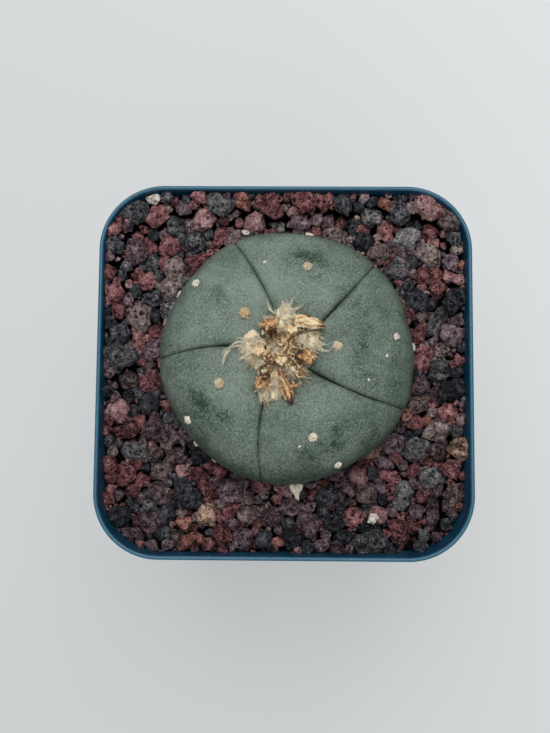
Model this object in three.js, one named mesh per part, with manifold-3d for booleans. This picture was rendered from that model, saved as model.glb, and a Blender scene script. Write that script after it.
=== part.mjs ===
// A potted button cactus: a spineless globe of five low ribs on its taproot, standing in lava gravel
// in a square plastic pot, with wool and dried flowers in its sunken crown.
// Millimetres, +Z up. The origin is under the middle of the pot's foot.
// Azimuths are in degrees, counter-clockwise from +X, seen from above.

import * as THREE from "three";
import { ConvexGeometry } from "three/addons/geometries/ConvexGeometry.js";
import { mergeVertices } from "three/addons/utils/BufferGeometryUtils.js";
import Module from "manifold-3d";

const wasm = await Module();
wasm.setup();

// Driving dimensions

const GAP = 0.3; // between pieces that rest on each other
const FINEST = 0.02; // corners nearer each other than this, left where pieces are joined, become one

const POT = {
  height: 70,
  rimHalf: 40, // half the outside width at the rim
  footHalf: 30.3, // half the outside width at the foot
  rimCorner: 13.9, // corner radius at the rim
  footCorner: 10.4,
  wall: 0.95,
  collarDepth: 14, // the upper band of the wall stands out by collarStep
  collarStep: 0.5,
  footRing: 6.5, // width of the flat ring that the pot stands on
  footRingThick: 2,
  floorRise: 2, // how far the middle of the floor is raised off the table
  floorThick: 1.2,
  holeRadius: 3.4,
  holeSpacing: 15, // from the middle hole to the corner holes, along X and Y
  notchWidth: 12, // air notches across the foot ring, one a side
  notchHeight: 1,
  cornerSteps: 6,
};

const GRAVEL = {
  depth: 5.2, // mean depth of the stones' tops under the rim
  slopeX: 0.01, // it lies lower towards +X and -Y, and lowest in the two front corners
  slopeY: -0.03,
  cornerSink: 1.6,
  bank: 2.8, // how far the stones climb against the walls
  bankWidth: 8,
  bedBelowTops: 2.6, // the bed that the top stones sit in
  fillSizes: [4.9, 4.2, 3.6], // mean widths of the stones between the large ones
  triesPerSize: [900, 1300, 300],
  flatness: 0.85, // a stone's height over its width
  packing: 0.41, // centre distance over the sum of two widths
  fromWall: 0.36, // a stone's middle to the wall, over its width
  stemRadius: 23.2, // the stem's radius at the stones' tops
  seed: 20,
};

// The largest stones: x, y, length, width, and how far the length is turned from +X, in degrees.
const LARGE_STONES = [
  [18, -36, 8.5, 5.5, 15], [-35.6, 3, 9, 6, -10], [28.5, 16, 7.5, 5.5, -45],
  [33, 11.5, 9, 4.2, 60], [-31.5, 12, 6.5, 6, 0], [-32.5, 34.5, 6.5, 5.5, 0],
  [30.5, 36, 7, 5.5, -80], [24.5, -34, 8.5, 4.4, -65], [-21.5, -26.5, 7, 5.2, -70],
  [-29, -32.5, 7, 4.6, -80], [-17.5, -23.5, 8.5, 4.2, -60], [-11, -25.5, 6.5, 5.2, -15],
  [37.5, -16, 6, 5.2, 0], [24.5, 35, 6, 5, -60], [28.5, -16, 6, 5.2, 0],
  [-32.5, -17, 6.5, 4.6, -10], [35.5, 32.5, 5.6, 5.2, 0], [4, 37, 5.6, 5, -20],
  [-18, 33.5, 5.6, 5, 90], [17.5, -26, 5.6, 5, 90], [-16.5, -30.5, 5.6, 4.6, -75],
  [-34, -12.5, 6.5, 4.2, 10], [32, -29.5, 8.5, 3.4, -90], [36, -25.5, 6, 4.2, 35],
  [-35.5, -8.5, 5.2, 4.8, 0], [12.5, 36.5, 6.5, 3.8, 90], [17, 29, 5, 4.6, 0],
  [-35.5, 8, 5, 4.6, 20], [36.4, 15.6, 7, 4.8, 60], [-19.5, -36, 6.5, 3.8, 30],
  [-34, -22, 5, 4.6, -50], [10.5, -32, 5, 4.6, 0], [-26.5, -21.5, 5, 4.6, 0],
  [22.5, -22, 6.5, 3.4, -10], [-14.5, 30, 6, 3.8, 65], [8.5, 37, 5.6, 3.6, 75],
];

const STEM = {
  x: 0.6, // the stem stands a little off the pot's middle
  y: 2.2,
  rowsTop: 19,
  rowsRoot: 7,
  columnsPerRib: 9,
  lean: 0.5, // how far the widest part stands off the crown towards +Y
  furrowDepth: 1.1,
  furrowWidth: 0.55,
  ribRise: 0.6, // how far a rib's middle stands above its edges
  pentagon: 0.44, // how far the outline stands out where the furrows meet it
};

// The stem's side view from the crown's middle out to the shoulder and down to the gravel, as
// radius and height above the pot's rim, then the taproot from there down to its tip.
const STEM_PROFILE = [
  [0, 8.4], [3.4, 8.7], [7.2, 10.2], [11.8, 11.2], [16.8, 10.6],
  [21.3, 8.7], [24.9, 5.4], [26.3, 1.4], [25.4, -2.4], [22.6, -6],
];
const ROOT_PROFILE = [[22.6, -6], [18.6, -11], [14.6, -18], [10.4, -28], [6.2, -40], [2.6, -50], [0, -54]];

// Each furrow's azimuth halfway out, and how many degrees it turns for each millimetre further out.
const FURROW_MIDDLE_RADIUS = 17;
const FURROWS = [
  { azimuth: 44.4, turn: 0.2 },
  { azimuth: 110.8, turn: 0.5 },
  { azimuth: 175.8, turn: 0.65 },
  { azimuth: 250.4, turn: 0.9 },
  { azimuth: 331, turn: 0.45 },
];

// Areoles, the woolly buttons on the ribs: distance out along the skin's top view (r), azimuth and
// width. Those with below set sit on the flank, that far down from the shoulder's widest line. A tall
// one is drawn out to a point, that far off the skin.
const AREOLES = [
  { r: 18.3, azimuth: 77, width: 2.2 },
  { r: 10.4, azimuth: 7.7, width: 2.1 },
  { r: 22.7, azimuth: 9.3, width: 1.8 },
  { r: 17.9, azimuth: 287.5, width: 2.2 },
  { r: 25, azimuth: 295, width: 2 },
  { r: 15, azimuth: 205, width: 2.4 },
  { r: 24.4, azimuth: 214, width: 2 },
  { r: 11.8, azimuth: 137, width: 2.6 },
  { r: 24, azimuth: 142.3, width: 2 },
  { below: 0.4, azimuth: 80, width: 2.2 },
  { below: 0.7, azimuth: 4.6, width: 2 },
  { below: 1.8, azimuth: 224, width: 1.8 },
  { below: 1, azimuth: 150, width: 1.8 },
  { below: 3.2, azimuth: 274, width: 3, tall: 3.4 },
  { below: 4.8, azimuth: 308, width: 1.8 },
];

// Wool lobes in the crown: centre from the stem's axis, half-lengths along X, Y and Z, turn about Z.
const WOOL_LOBES = [
  { x: -0.6, y: 0.4, size: [5.9, 6.3, 1.5], turn: 0 },
  { x: -0.4, y: 7, size: [2.1, 2.7, 1.5], turn: 0 },
  { x: -3.1, y: 5.8, size: [2.3, 2.2, 1.2], turn: 20 },
  { x: 4.5, y: 2.5, size: [2.7, 2.4, 1.6], turn: 0 },
  { x: -6.6, y: 0.6, size: [2.7, 3.7, 1.5], turn: 15 },
  { x: 1.3, y: -3.5, size: [2.4, 1.9, 1.2], turn: 20 },
  { x: -3.7, y: -6.6, size: [2.5, 3.3, 1.5], turn: 0 },
];
const WOOL = { hairs: 98, hairWidth: 0.7, hairLength: 2.4, seed: 7 };

// Dried flowers: where the foot stands from the stem's axis, the way it points (azimuth, and degrees
// above the horizontal), its length and width. Foot and tip are the widths at its ends over that
// width, and belly is how far it swells between them.
const DRIED_FLOWERS = [
  { x: -1.6, y: -3.5, azimuth: 288, rise: 5, length: 7.4, width: 2.4, foot: 0.4, tip: 0.35, belly: 0.62 },
  { x: -3.2, y: 4.4, azimuth: 120, rise: 62, length: 2.4, width: 3.3, foot: 0.75, tip: 1, belly: -0.1 },
  { x: 0.6, y: 3.4, azimuth: 80, rise: 66, length: 2.6, width: 2.3, foot: 0.8, tip: 1.05, belly: -0.1 },
  { x: 2.3, y: -0.6, azimuth: 340, rise: 52, length: 2.9, width: 3.5, foot: 0.75, tip: 1, belly: 0.05 },
  { x: -4.3, y: -0.6, azimuth: 150, rise: 62, length: 2.6, width: 2.6, foot: 0.8, tip: 1, belly: -0.05 },
  { x: -1.9, y: -1.1, azimuth: 280, rise: 74, length: 2.8, width: 2, foot: 0.7, tip: 1.1, belly: -0.1 },
  { x: -3.8, y: -4.5, azimuth: 238, rise: 30, length: 3.6, width: 2.7, foot: 0.7, tip: 0.7, belly: 0.25 },
  { x: 1.7, y: 6.3, azimuth: 351, rise: 8, length: 5.6, width: 2.8, foot: 0.8, tip: 0.3, belly: 0.35 },
];
const FLOWER = { sides: 9, rings: 6, fray: 0.26, foldDepth: 0.2, seatDepth: 1.5 };

const COLOURS = {
  pot: 0x2f6a86,
  gravel: 0x5b4648,
  stem: 0x6d8577,
  wool: 0xd8c8a4,
  flower: 0x9a6a3a,
};

// Small tools

const radians = THREE.MathUtils.degToRad;
const lerp = THREE.MathUtils.lerp;

// A seeded source of numbers from 0 to 1.
function seeded(seed) {
  let state = seed >>> 0;
  return () => {
    state = (state + 0x6d2b79f5) >>> 0;
    let mixed = Math.imul(state ^ (state >>> 15), 1 | state);
    mixed = (mixed + Math.imul(mixed ^ (mixed >>> 7), 61 | mixed)) ^ mixed;
    return ((mixed ^ (mixed >>> 14)) >>> 0) / 4294967296;
  };
}

// A closed geometry as a manifold-3d solid, and back.
function solidOf(geometry) {
  const bare = geometry.clone();
  bare.deleteAttribute("normal");
  bare.deleteAttribute("uv");
  const merged = mergeVertices(bare, 1e-4);
  return new wasm.Manifold(new wasm.Mesh({
    numProp: 3,
    vertProperties: merged.getAttribute("position").array,
    triVerts: new Uint32Array(merged.index.array),
  }));
}

function geometryOf(solid) {
  const mesh = solid.getMesh();
  const geometry = new THREE.BufferGeometry();
  geometry.setAttribute("position", new THREE.BufferAttribute(mesh.vertProperties, 3));
  geometry.setIndex(new THREE.BufferAttribute(mesh.triVerts, 1));
  geometry.computeVertexNormals();
  return geometry;
}

// The largest body of a solid, without the loose scraps and sealed bubbles that fusing leaves.
// The second round drops those that hung on by a corner.
function mainBody(solid) {
  const largest = (whole) => whole.decompose().reduce((a, b) => (b.volume() > a.volume() ? b : a));
  return largest(solidOf(geometryOf(largest(solid).simplify(FINEST))));
}

function placed(geometry, x, y, z, euler = [0, 0, 0]) {
  const turn = new THREE.Matrix4().makeRotationFromEuler(new THREE.Euler(...euler, "XYZ"));
  return geometry.applyMatrix4(turn).translate(x, y, z);
}

// A surface through rings of equally many points, closed by a fan at each end.
function skinOver(rings) {
  const count = rings[0].length;
  const positions = [];
  const faces = [];
  rings.forEach((ring) => ring.forEach((p) => positions.push(p.x, p.y, p.z)));
  for (let r = 0; r + 1 < rings.length; r++)
    for (let i = 0; i < count; i++) {
      const next = (i + 1) % count;
      const a = r * count + i, b = r * count + next;
      faces.push(a, b, b + count, a, b + count, a + count);
    }
  [0, rings.length - 1].forEach((r) => {
    const middle = new THREE.Vector3();
    rings[r].forEach((p) => middle.addScaledVector(p, 1 / count));
    const tip = positions.length / 3;
    positions.push(middle.x, middle.y, middle.z);
    for (let i = 0; i < count; i++) {
      const a = r * count + i, b = r * count + ((i + 1) % count);
      faces.push(...(r === 0 ? [b, a, tip] : [a, b, tip]));
    }
  });
  const geometry = new THREE.BufferGeometry();
  geometry.setAttribute("position", new THREE.Float32BufferAttribute(positions, 3));
  geometry.setIndex(faces);
  return geometry;
}

// The pot

// A square with rounded corners, as a ring of points counter-clockwise.
function roundedSquare(half, corner, z) {
  const ring = [];
  const centre = half - corner;
  [[1, 1, 0], [-1, 1, 90], [-1, -1, 180], [1, -1, 270]].forEach(([sx, sy, start]) => {
    for (let k = 0; k <= POT.cornerSteps; k++) {
      const angle = radians(start + (90 * k) / POT.cornerSteps);
      ring.push(new THREE.Vector3(
        sx * centre + corner * Math.cos(angle), sy * centre + corner * Math.sin(angle), z));
    }
  });
  return ring;
}

// Half the pot's outside width at a height, and its corner radius there.
function outsideHalf(z) {
  const inset = z < POT.height - POT.collarDepth ? POT.collarStep : 0;
  return lerp(POT.footHalf, POT.rimHalf, z / POT.height) - inset;
}
function cornerAt(z) {
  return lerp(POT.footCorner, POT.rimCorner, z / POT.height);
}
function wallRing(z, inset, below = false) {
  const step = below ? POT.collarStep : 0;
  return roundedSquare(outsideHalf(z) - inset - step, cornerAt(z) - inset, z);
}

function potSolid() {
  const collar = POT.height - POT.collarDepth;
  const ringInner = POT.footHalf - POT.footRing;
  const ringCorner = POT.footCorner - 3;
  const floorTop = POT.floorRise + POT.floorThick;
  const rimRound = 0.3;
  const rings = [
    roundedSquare(ringInner - 1, ringCorner, POT.floorRise),
    roundedSquare(ringInner, ringCorner, 0),
    wallRing(0, 0.6),
    wallRing(0.8, 0),
    wallRing(collar - 0.01, 0),
    wallRing(collar + POT.collarStep, 0),
    wallRing(POT.height - rimRound, 0),
    wallRing(POT.height, rimRound),
    wallRing(POT.height, POT.wall - rimRound),
    wallRing(POT.height - rimRound, POT.wall),
    wallRing(collar + POT.collarStep, POT.wall),
    wallRing(collar - 0.01, POT.wall),
    wallRing(POT.footRingThick + 1, POT.wall),
    wallRing(POT.footRingThick, POT.wall + 1),
    roundedSquare(ringInner, ringCorner, POT.footRingThick),
    roundedSquare(ringInner - 1, ringCorner, floorTop),
  ];
  let solid = solidOf(skinOver(rings));

  const hole = () => new THREE.CylinderGeometry(POT.holeRadius, POT.holeRadius, 10, 20).rotateX(Math.PI / 2);
  const steps = [[0, 0], [1, 1], [-1, 1], [-1, -1], [1, -1]];
  steps.forEach(([i, j]) => {
    solid = solid.subtract(solidOf(hole().translate(i * POT.holeSpacing, j * POT.holeSpacing, 0)));
  });
  const across = 2 * POT.footHalf + 10;
  [[across, POT.notchWidth], [POT.notchWidth, across]].forEach(([width, length]) => {
    const notch = new THREE.BoxGeometry(width, length, 2 * POT.notchHeight);
    solid = solid.subtract(solidOf(notch));
  });
  return solid;
}

// The stem

const STEM_CURVE = new THREE.SplineCurve(STEM_PROFILE.map((p) => new THREE.Vector2(...p)));
const ROOT_CURVE = new THREE.SplineCurve(ROOT_PROFILE.map((p) => new THREE.Vector2(...p)));
const SHOULDER = 0.78; // where along the profile the stem is widest
const PROFILE_LENGTH = STEM_CURVE.getLength();

function furrowAzimuth(index, radius) {
  const turns = Math.floor(index / FURROWS.length);
  const furrow = FURROWS[index - turns * FURROWS.length];
  const reach = Math.max(radius, 3) - FURROW_MIDDLE_RADIUS;
  return furrow.azimuth + furrow.turn * reach + 360 * turns;
}

// How strong the ribs are along the profile: most near the crown, none in its middle or on the root.
function ribStrength(along) {
  const { smoothstep } = THREE.MathUtils;
  return smoothstep(along, 0.05, 0.24) * (1 - 0.55 * smoothstep(along, 0.3, 0.7) - 0.45 * smoothstep(along, 0.7, 1));
}

// A point on the stem: rib number, 0 to 1 across it, and 0 to 1 along the profile.
function stemPoint(rib, across, along) {
  const at = STEM_CURVE.getPoint(along);
  const tangent = STEM_CURVE.getTangent(along);
  const out = new THREE.Vector2(-tangent.y, tangent.x);
  const left = furrowAzimuth(rib, at.x);
  const right = furrowAzimuth(rib + 1, at.x);
  const azimuth = radians(lerp(left, right, across));
  const ribWidth = radians(right - left) * at.x;
  const toFurrow = Math.min(across, 1 - across) * ribWidth;
  const strength = ribStrength(along);
  const crease = STEM.furrowDepth * Math.exp(-toFurrow / STEM.furrowWidth);
  const crown = STEM.ribRise * Math.pow(Math.abs(2 * across - 1), 2.5);
  const relief = -strength * (crease + crown);
  const widest = Math.exp(-Math.pow((along - SHOULDER) / 0.2, 2));
  const pentagon = STEM.pentagon * (1 + Math.cos(2 * Math.PI * across)) * widest;
  const radius = Math.max(at.x + out.x * relief + pentagon, 0);
  return new THREE.Vector3(
    STEM.x + radius * Math.cos(azimuth),
    STEM.y + radius * Math.sin(azimuth) + STEM.lean * widest,
    POT.height + at.y + out.y * relief,
  );
}

// Finer columns near the furrows, and finer rows near the crown and the shoulder.
function stemGeometry() {
  const rings = [];
  for (let row = 1; row <= STEM.rowsTop; row++) {
    const ring = [];
    for (let rib = 0; rib < FURROWS.length; rib++)
      for (let column = 0; column < STEM.columnsPerRib; column++) {
        const across = 0.5 - 0.5 * Math.cos((Math.PI * column) / STEM.columnsPerRib);
        ring.push(stemPoint(rib, across, row / STEM.rowsTop));
      }
    rings.unshift(ring);
  }
  const collar = rings[0];
  const collarAt = ROOT_CURVE.getPoint(0);
  for (let row = 1; row < STEM.rowsRoot; row++) {
    const at = ROOT_CURVE.getPoint(row / STEM.rowsRoot);
    rings.unshift(collar.map((p) => new THREE.Vector3(
      STEM.x + ((p.x - STEM.x) * at.x) / collarAt.x,
      STEM.y + ((p.y - STEM.y) * at.x) / collarAt.x,
      POT.height + at.y,
    )));
  }
  return skinOver(rings);
}

// Where a rib's point at an azimuth and a place along the profile is, with the skin's outward normal.
function skinAt(azimuth, along) {
  const radius = STEM_CURVE.getPoint(along).x;
  let rib = 0;
  while (furrowAzimuth(rib + 1, radius) < azimuth) rib++;
  while (furrowAzimuth(rib, radius) > azimuth) rib--;
  const left = furrowAzimuth(rib, radius);
  const across = (azimuth - left) / (furrowAzimuth(rib + 1, radius) - left);
  const point = stemPoint(rib, across, along);
  const sideways = stemPoint(rib, across + 0.01, along).sub(stemPoint(rib, across - 0.01, along));
  const outwards = stemPoint(rib, across, along + 0.01).sub(stemPoint(rib, across, along - 0.01));
  return { point, normal: new THREE.Vector3().crossVectors(outwards, sideways).normalize() };
}

// How far along the profile the skin has a given radius, on the way out to the shoulder.
function alongAtRadius(radius) {
  let along = 0;
  while (along < SHOULDER && STEM_CURVE.getPoint(along).x < radius) along += 0.002;
  return along;
}

// An areole: a low round tuft with a ragged edge, sunk into the skin by half its width.
function areoleGeometry({ width, tall = 0 }, random) {
  const sides = 7;
  const ring = (radius, z, rough) => Array.from({ length: sides }, (_, i) => {
    const angle = (2 * Math.PI * (i + 0.5 * rough)) / sides;
    const reach = radius * (1 + rough * (random() - 0.5) * 0.5);
    return new THREE.Vector3(reach * Math.cos(angle), reach * Math.sin(angle), z);
  });
  const tuft = [
    ring(width * 0.4, -width * 0.5, 0),
    ring(width * 0.52, width * 0.12, 1),
    ring(width * 0.34, Math.max(width * 0.36, tall * 0.4), 1),
  ];
  if (tall) tuft.push(ring(width * 0.12, tall, 0));
  return skinOver(tuft);
}

function stemSolid() {
  const random = seeded(3);
  let solid = solidOf(stemGeometry());
  AREOLES.forEach((areole) => {
    const along = areole.below === undefined
      ? alongAtRadius(areole.r)
      : SHOULDER + areole.below / PROFILE_LENGTH;
    const { point, normal } = skinAt(areole.azimuth, along);
    const tuft = areoleGeometry(areole, random);
    const turn = new THREE.Quaternion().setFromUnitVectors(new THREE.Vector3(0, 0, 1), normal);
    tuft.applyQuaternion(turn).translate(point.x, point.y, point.z);
    solid = solid.add(solidOf(tuft));
  });
  return solid;
}

// The stem grown by a clearance on all sides, to cut what lies against it.
function swollenStem(clearance) {
  const geometry = mergeVertices(stemGeometry(), 1e-4);
  geometry.computeVertexNormals();
  const at = geometry.getAttribute("position");
  const normal = geometry.getAttribute("normal");
  for (let i = 0; i < at.count; i++)
    at.setXYZ(i,
      at.getX(i) + clearance * normal.getX(i),
      at.getY(i) + clearance * normal.getY(i),
      at.getZ(i) + clearance * normal.getZ(i));
  let solid = solidOf(geometry);
  AREOLES.filter((areole) => areole.below > 2).forEach(({ below, azimuth, width, tall = 0 }) => {
    const { point, normal } = skinAt(azimuth, SHOULDER + below / PROFILE_LENGTH);
    point.addScaledVector(normal, 0.45 * tall);
    const room = new THREE.IcosahedronGeometry(width * 0.75 + clearance, 1);
    solid = solid.add(solidOf(room.translate(point.x, point.y, point.z)));
  });
  return solid;
}

// The gravel

// How far inside the pot's inner wall a point is, at a height.
function insetFromWall(x, y, z) {
  const half = outsideHalf(z) - POT.wall;
  const corner = cornerAt(z) - POT.wall;
  const dx = Math.abs(x) - (half - corner), dy = Math.abs(y) - (half - corner);
  return corner - Math.hypot(Math.max(dx, 0), Math.max(dy, 0)) - Math.min(Math.max(dx, dy), 0);
}

// Height of the stones' tops.
function gravelTop(x, y) {
  const inner = POT.rimHalf - POT.wall;
  const front = Math.max(0, -y / inner);
  const sink = GRAVEL.cornerSink * front * Math.pow(x / inner, 2);
  const toWall = insetFromWall(x, y, POT.height);
  const bank = GRAVEL.bank * (1 - THREE.MathUtils.smoothstep(toWall, 1, GRAVEL.bankWidth));
  return POT.height - (GRAVEL.depth + GRAVEL.slopeX * x + GRAVEL.slopeY * y + sink) + bank;
}

// How far a point is from the line that runs along the middle of a stone.
function distanceTo(stone, x, y) {
  const half = (stone.length - stone.width) / 2;
  const cos = Math.cos(stone.turn), sin = Math.sin(stone.turn);
  const along = (x - stone.x) * cos + (y - stone.y) * sin;
  const aside = (y - stone.y) * cos - (x - stone.x) * sin;
  return Math.hypot(Math.max(Math.abs(along) - half, 0), aside);
}

// The stones' places: the large ones, then the others, each where it keeps its distance.
function stonePlaces() {
  const random = seeded(GRAVEL.seed);
  const stones = LARGE_STONES.map(([x, y, length, width, turn]) => (
    { x, y, length, width, turn: radians(turn) }));
  GRAVEL.fillSizes.forEach((size, kind) => {
    for (let n = 0; n < GRAVEL.triesPerSize[kind]; n++) {
      const x = lerp(-POT.rimHalf, POT.rimHalf, random());
      const y = lerp(-POT.rimHalf, POT.rimHalf, random());
      const width = size * (0.9 + 0.2 * random());
      const stretch = 1 + 0.4 * random();
      const turn = 2 * Math.PI * random();
      if (insetFromWall(x, y, gravelTop(x, y)) < GRAVEL.fromWall * width + GAP) continue;
      if (Math.hypot(x - STEM.x, y - STEM.y) < GRAVEL.stemRadius + 0.25 * width) continue;
      const clear = stones.every((stone) =>
        distanceTo(stone, x, y) > GRAVEL.packing * (width + stone.width));
      if (clear) stones.push({ x, y, length: width * stretch, width, turn });
    }
  });
  return stones;
}

// One lump of scoria: the hull of a few points scattered over a squashed ball.
function stoneGeometry({ length, width }, random) {
  const count = width > 4.5 ? 16 : 11;
  const points = Array.from({ length: count }, (_, i) => {
    const z = 1 - (2 * (i + 0.5)) / count;
    const angle = i * 2.39996 + 0.9 * random();
    const level = Math.sqrt(1 - z * z);
    const reach = 0.46 + 0.12 * random();
    return new THREE.Vector3(
      reach * length * level * Math.cos(angle),
      reach * width * level * Math.sin(angle),
      reach * width * GRAVEL.flatness * z);
  });
  return new ConvexGeometry(points);
}

function gravelSolid() {
  const random = seeded(GRAVEL.seed + 1);
  const collar = POT.height - POT.collarDepth;
  const floorTop = POT.floorRise + POT.floorThick;
  const inset = POT.wall + GAP + 0.15;
  const bed = [
    wallRing(floorTop + GAP, inset),
    wallRing(collar - 0.1, inset),
    wallRing(collar + POT.collarStep + 0.4, inset, true),
    wallRing(POT.height - GRAVEL.depth, inset, true),
    wallRing(POT.height - GRAVEL.depth, inset + GRAVEL.bankWidth, true),
  ];
  bed.slice(3).flat().forEach((p) => (p.z = gravelTop(p.x, p.y) - GRAVEL.bedBelowTops));
  let solid = solidOf(skinOver(bed));

  stonePlaces().forEach((stone) => {
    const half = (stone.width * GRAVEL.flatness) / 2;
    const z = gravelTop(stone.x, stone.y) - GRAVEL.bedBelowTops + (0.5 + 0.3 * random()) * half;
    const tilt = () => 0.4 * (random() - 0.5);
    const lump = stoneGeometry(stone, random);
    placed(lump, stone.x, stone.y, z, [tilt(), tilt(), stone.turn]);
    solid = solid.add(solidOf(lump));
  });

  const room = [
    wallRing(floorTop, POT.wall + GAP),
    wallRing(collar - 0.1, POT.wall + GAP),
    wallRing(collar + POT.collarStep + 0.4, POT.wall + GAP),
    wallRing(POT.height + 5, POT.wall + GAP),
  ];
  solid = solid.intersect(solidOf(skinOver(room)));
  return mainBody(solid.subtract(swollenStem(GAP)));
}

// The crown's wool and dried flowers

// The skin's height in the crown, from the profile alone.
function crownHeight(x, y) {
  const radius = Math.hypot(x, y);
  return POT.height + STEM_CURVE.getPoint(alongAtRadius(radius)).y;
}

// A dried flower: a shrunken, folded tube that opens to a frayed mouth, with its foot at the origin
// and its axis along +Z. Grown makes it stouter all round.
function flowerGeometry(flower, grown = 0) {
  const random = seeded(Math.round(100 * (flower.azimuth + flower.length)));
  const rings = [];
  const bend = 0.5 * (random() - 0.5);
  const folds = Array.from({ length: FLOWER.sides }, () => random());
  for (let k = 0; k <= FLOWER.rings; k++) {
    const t = k / FLOWER.rings;
    const swelling = flower.belly * Math.sin(Math.PI * Math.pow(t, 1.5));
    const waist = 0.5 * flower.width * (lerp(flower.foot, flower.tip, t) + swelling);
    const end = k === 0 || k === FLOWER.rings;
    rings.push(folds.map((fold, i) => {
      const angle = (2 * Math.PI * i) / FLOWER.sides + 0.5 * t;
      const pinch = 1 - FLOWER.foldDepth * (i % 2) - 0.12 * fold;
      const reach = waist * pinch * (end ? 0.72 : 1) + grown;
      const frayed = t > 0.7 ? FLOWER.fray * flower.width * (fold - 0.4) : 0;
      const z = flower.length * t + frayed + (k === 0 ? -grown : 0) + (k === FLOWER.rings ? grown : 0);
      return new THREE.Vector3(
        reach * Math.cos(angle) + bend * flower.length * t * t, reach * Math.sin(angle), z);
    }));
  }
  return skinOver(rings);
}

function placedFlower(flower, grown = 0) {
  const geometry = flowerGeometry(flower, grown);
  const azimuth = radians(flower.azimuth), rise = radians(flower.rise);
  const along = new THREE.Vector3(
    Math.cos(rise) * Math.cos(azimuth), Math.cos(rise) * Math.sin(azimuth), Math.sin(rise));
  const turn = new THREE.Quaternion().setFromUnitVectors(new THREE.Vector3(0, 0, 1), along);
  geometry.applyQuaternion(turn);
  const lift = 0.4 * flower.width * Math.cos(rise);
  return geometry.translate(
    STEM.x + flower.x,
    STEM.y + flower.y,
    crownHeight(flower.x, flower.y) + FLOWER.seatDepth + lift);
}

function woolSolid() {
  const random = seeded(WOOL.seed);
  let solid;
  WOOL_LOBES.forEach(({ x, y, size, turn }) => {
    const lump = mergeVertices(new THREE.IcosahedronGeometry(1, 1).deleteAttribute("normal").deleteAttribute("uv"));
    const at = lump.getAttribute("position");
    for (let i = 0; i < at.count; i++) {
      const swell = 0.86 + 0.28 * random();
      at.setXYZ(i, at.getX(i) * swell * size[0], at.getY(i) * swell * size[1], at.getZ(i) * swell * size[2]);
    }
    placed(lump, STEM.x + x, STEM.y + y, crownHeight(x, y) + 0.5, [0, 0, radians(turn)]);
    solid = solid ? solid.add(solidOf(lump)) : solidOf(lump);
  });
  for (let n = 0; n < WOOL.hairs; n++) {
    const lobe = WOOL_LOBES[n % WOOL_LOBES.length];
    const angle = 2 * Math.PI * random();
    const reach = 0.25 + 0.6 * random();
    const x = lobe.x + reach * lobe.size[0] * Math.cos(angle);
    const y = lobe.y + reach * lobe.size[1] * Math.sin(angle);
    const rise = 0.3 + 0.9 * lobe.size[2] * Math.sqrt(1 - reach * reach);
    const length = WOOL.hairLength * (0.7 + 0.6 * random());
    const lean = 0.5 + 0.9 * reach + 0.3 * random();
    const outward = Math.atan2(y, x) + 1.4 * (random() - 0.5);
    const hair = new THREE.ConeGeometry(WOOL.hairWidth / 2, length, 3).rotateX(Math.PI / 2);
    hair.translate(0, 0, 0.35 * length).rotateY(lean).rotateZ(outward);
    hair.translate(STEM.x + x, STEM.y + y, crownHeight(x, y) + rise);
    solid = solid.add(solidOf(hair));
  }
  DRIED_FLOWERS.forEach((flower) => {
    solid = solid.subtract(solidOf(placedFlower(flower, GAP)));
  });
  return mainBody(solid.subtract(swollenStem(GAP)));
}

// The whole

function material(color, roughness) {
  return new THREE.MeshStandardMaterial({ color, roughness, metalness: 0, flatShading: true });
}

function mesh(name, geometry, finish) {
  const made = new THREE.Mesh(geometry, finish);
  made.name = name;
  return made;
}

const plant = new THREE.Group();
plant.add(mesh("pot", geometryOf(potSolid()), material(COLOURS.pot, 0.45)));
plant.add(mesh("lava_gravel", geometryOf(gravelSolid()), material(COLOURS.gravel, 0.95)));
plant.add(mesh("cactus", geometryOf(stemSolid()), material(COLOURS.stem, 0.7)));
plant.add(mesh("crown_wool", geometryOf(woolSolid()), material(COLOURS.wool, 0.95)));
const flowerFinish = material(COLOURS.flower, 0.8);
const stemWithGap = swollenStem(GAP);
DRIED_FLOWERS.forEach((flower, i) => {
  const solid = mainBody(solidOf(placedFlower(flower)).subtract(stemWithGap));
  plant.add(mesh(`dried_flower_${i + 1}`, geometryOf(solid), flowerFinish));
});

export default plant;
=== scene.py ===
"""A potted button cactus, dressed: lava stones, waxy stem, wool, dried flowers and a moulded pot.

Sizes are in millimetres until a mesh is made. +Z is up, and the origin is under the pot's foot.
"""
import math
import bmesh
import bpy
import numpy as np
from mathutils import Matrix, Vector, noise


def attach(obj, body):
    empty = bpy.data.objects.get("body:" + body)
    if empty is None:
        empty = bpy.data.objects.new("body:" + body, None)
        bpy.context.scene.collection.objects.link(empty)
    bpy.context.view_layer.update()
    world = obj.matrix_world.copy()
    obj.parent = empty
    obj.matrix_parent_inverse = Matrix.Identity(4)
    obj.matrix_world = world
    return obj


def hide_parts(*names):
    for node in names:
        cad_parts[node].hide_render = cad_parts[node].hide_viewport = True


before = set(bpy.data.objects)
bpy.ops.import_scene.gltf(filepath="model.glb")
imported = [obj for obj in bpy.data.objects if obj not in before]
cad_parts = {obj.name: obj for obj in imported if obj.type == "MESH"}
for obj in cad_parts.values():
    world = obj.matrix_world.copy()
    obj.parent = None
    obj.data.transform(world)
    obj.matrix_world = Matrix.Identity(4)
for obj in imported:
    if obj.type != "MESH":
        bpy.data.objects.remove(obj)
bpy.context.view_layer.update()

MM = 0.001

# Driving dimensions, the same as in the solids

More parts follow.
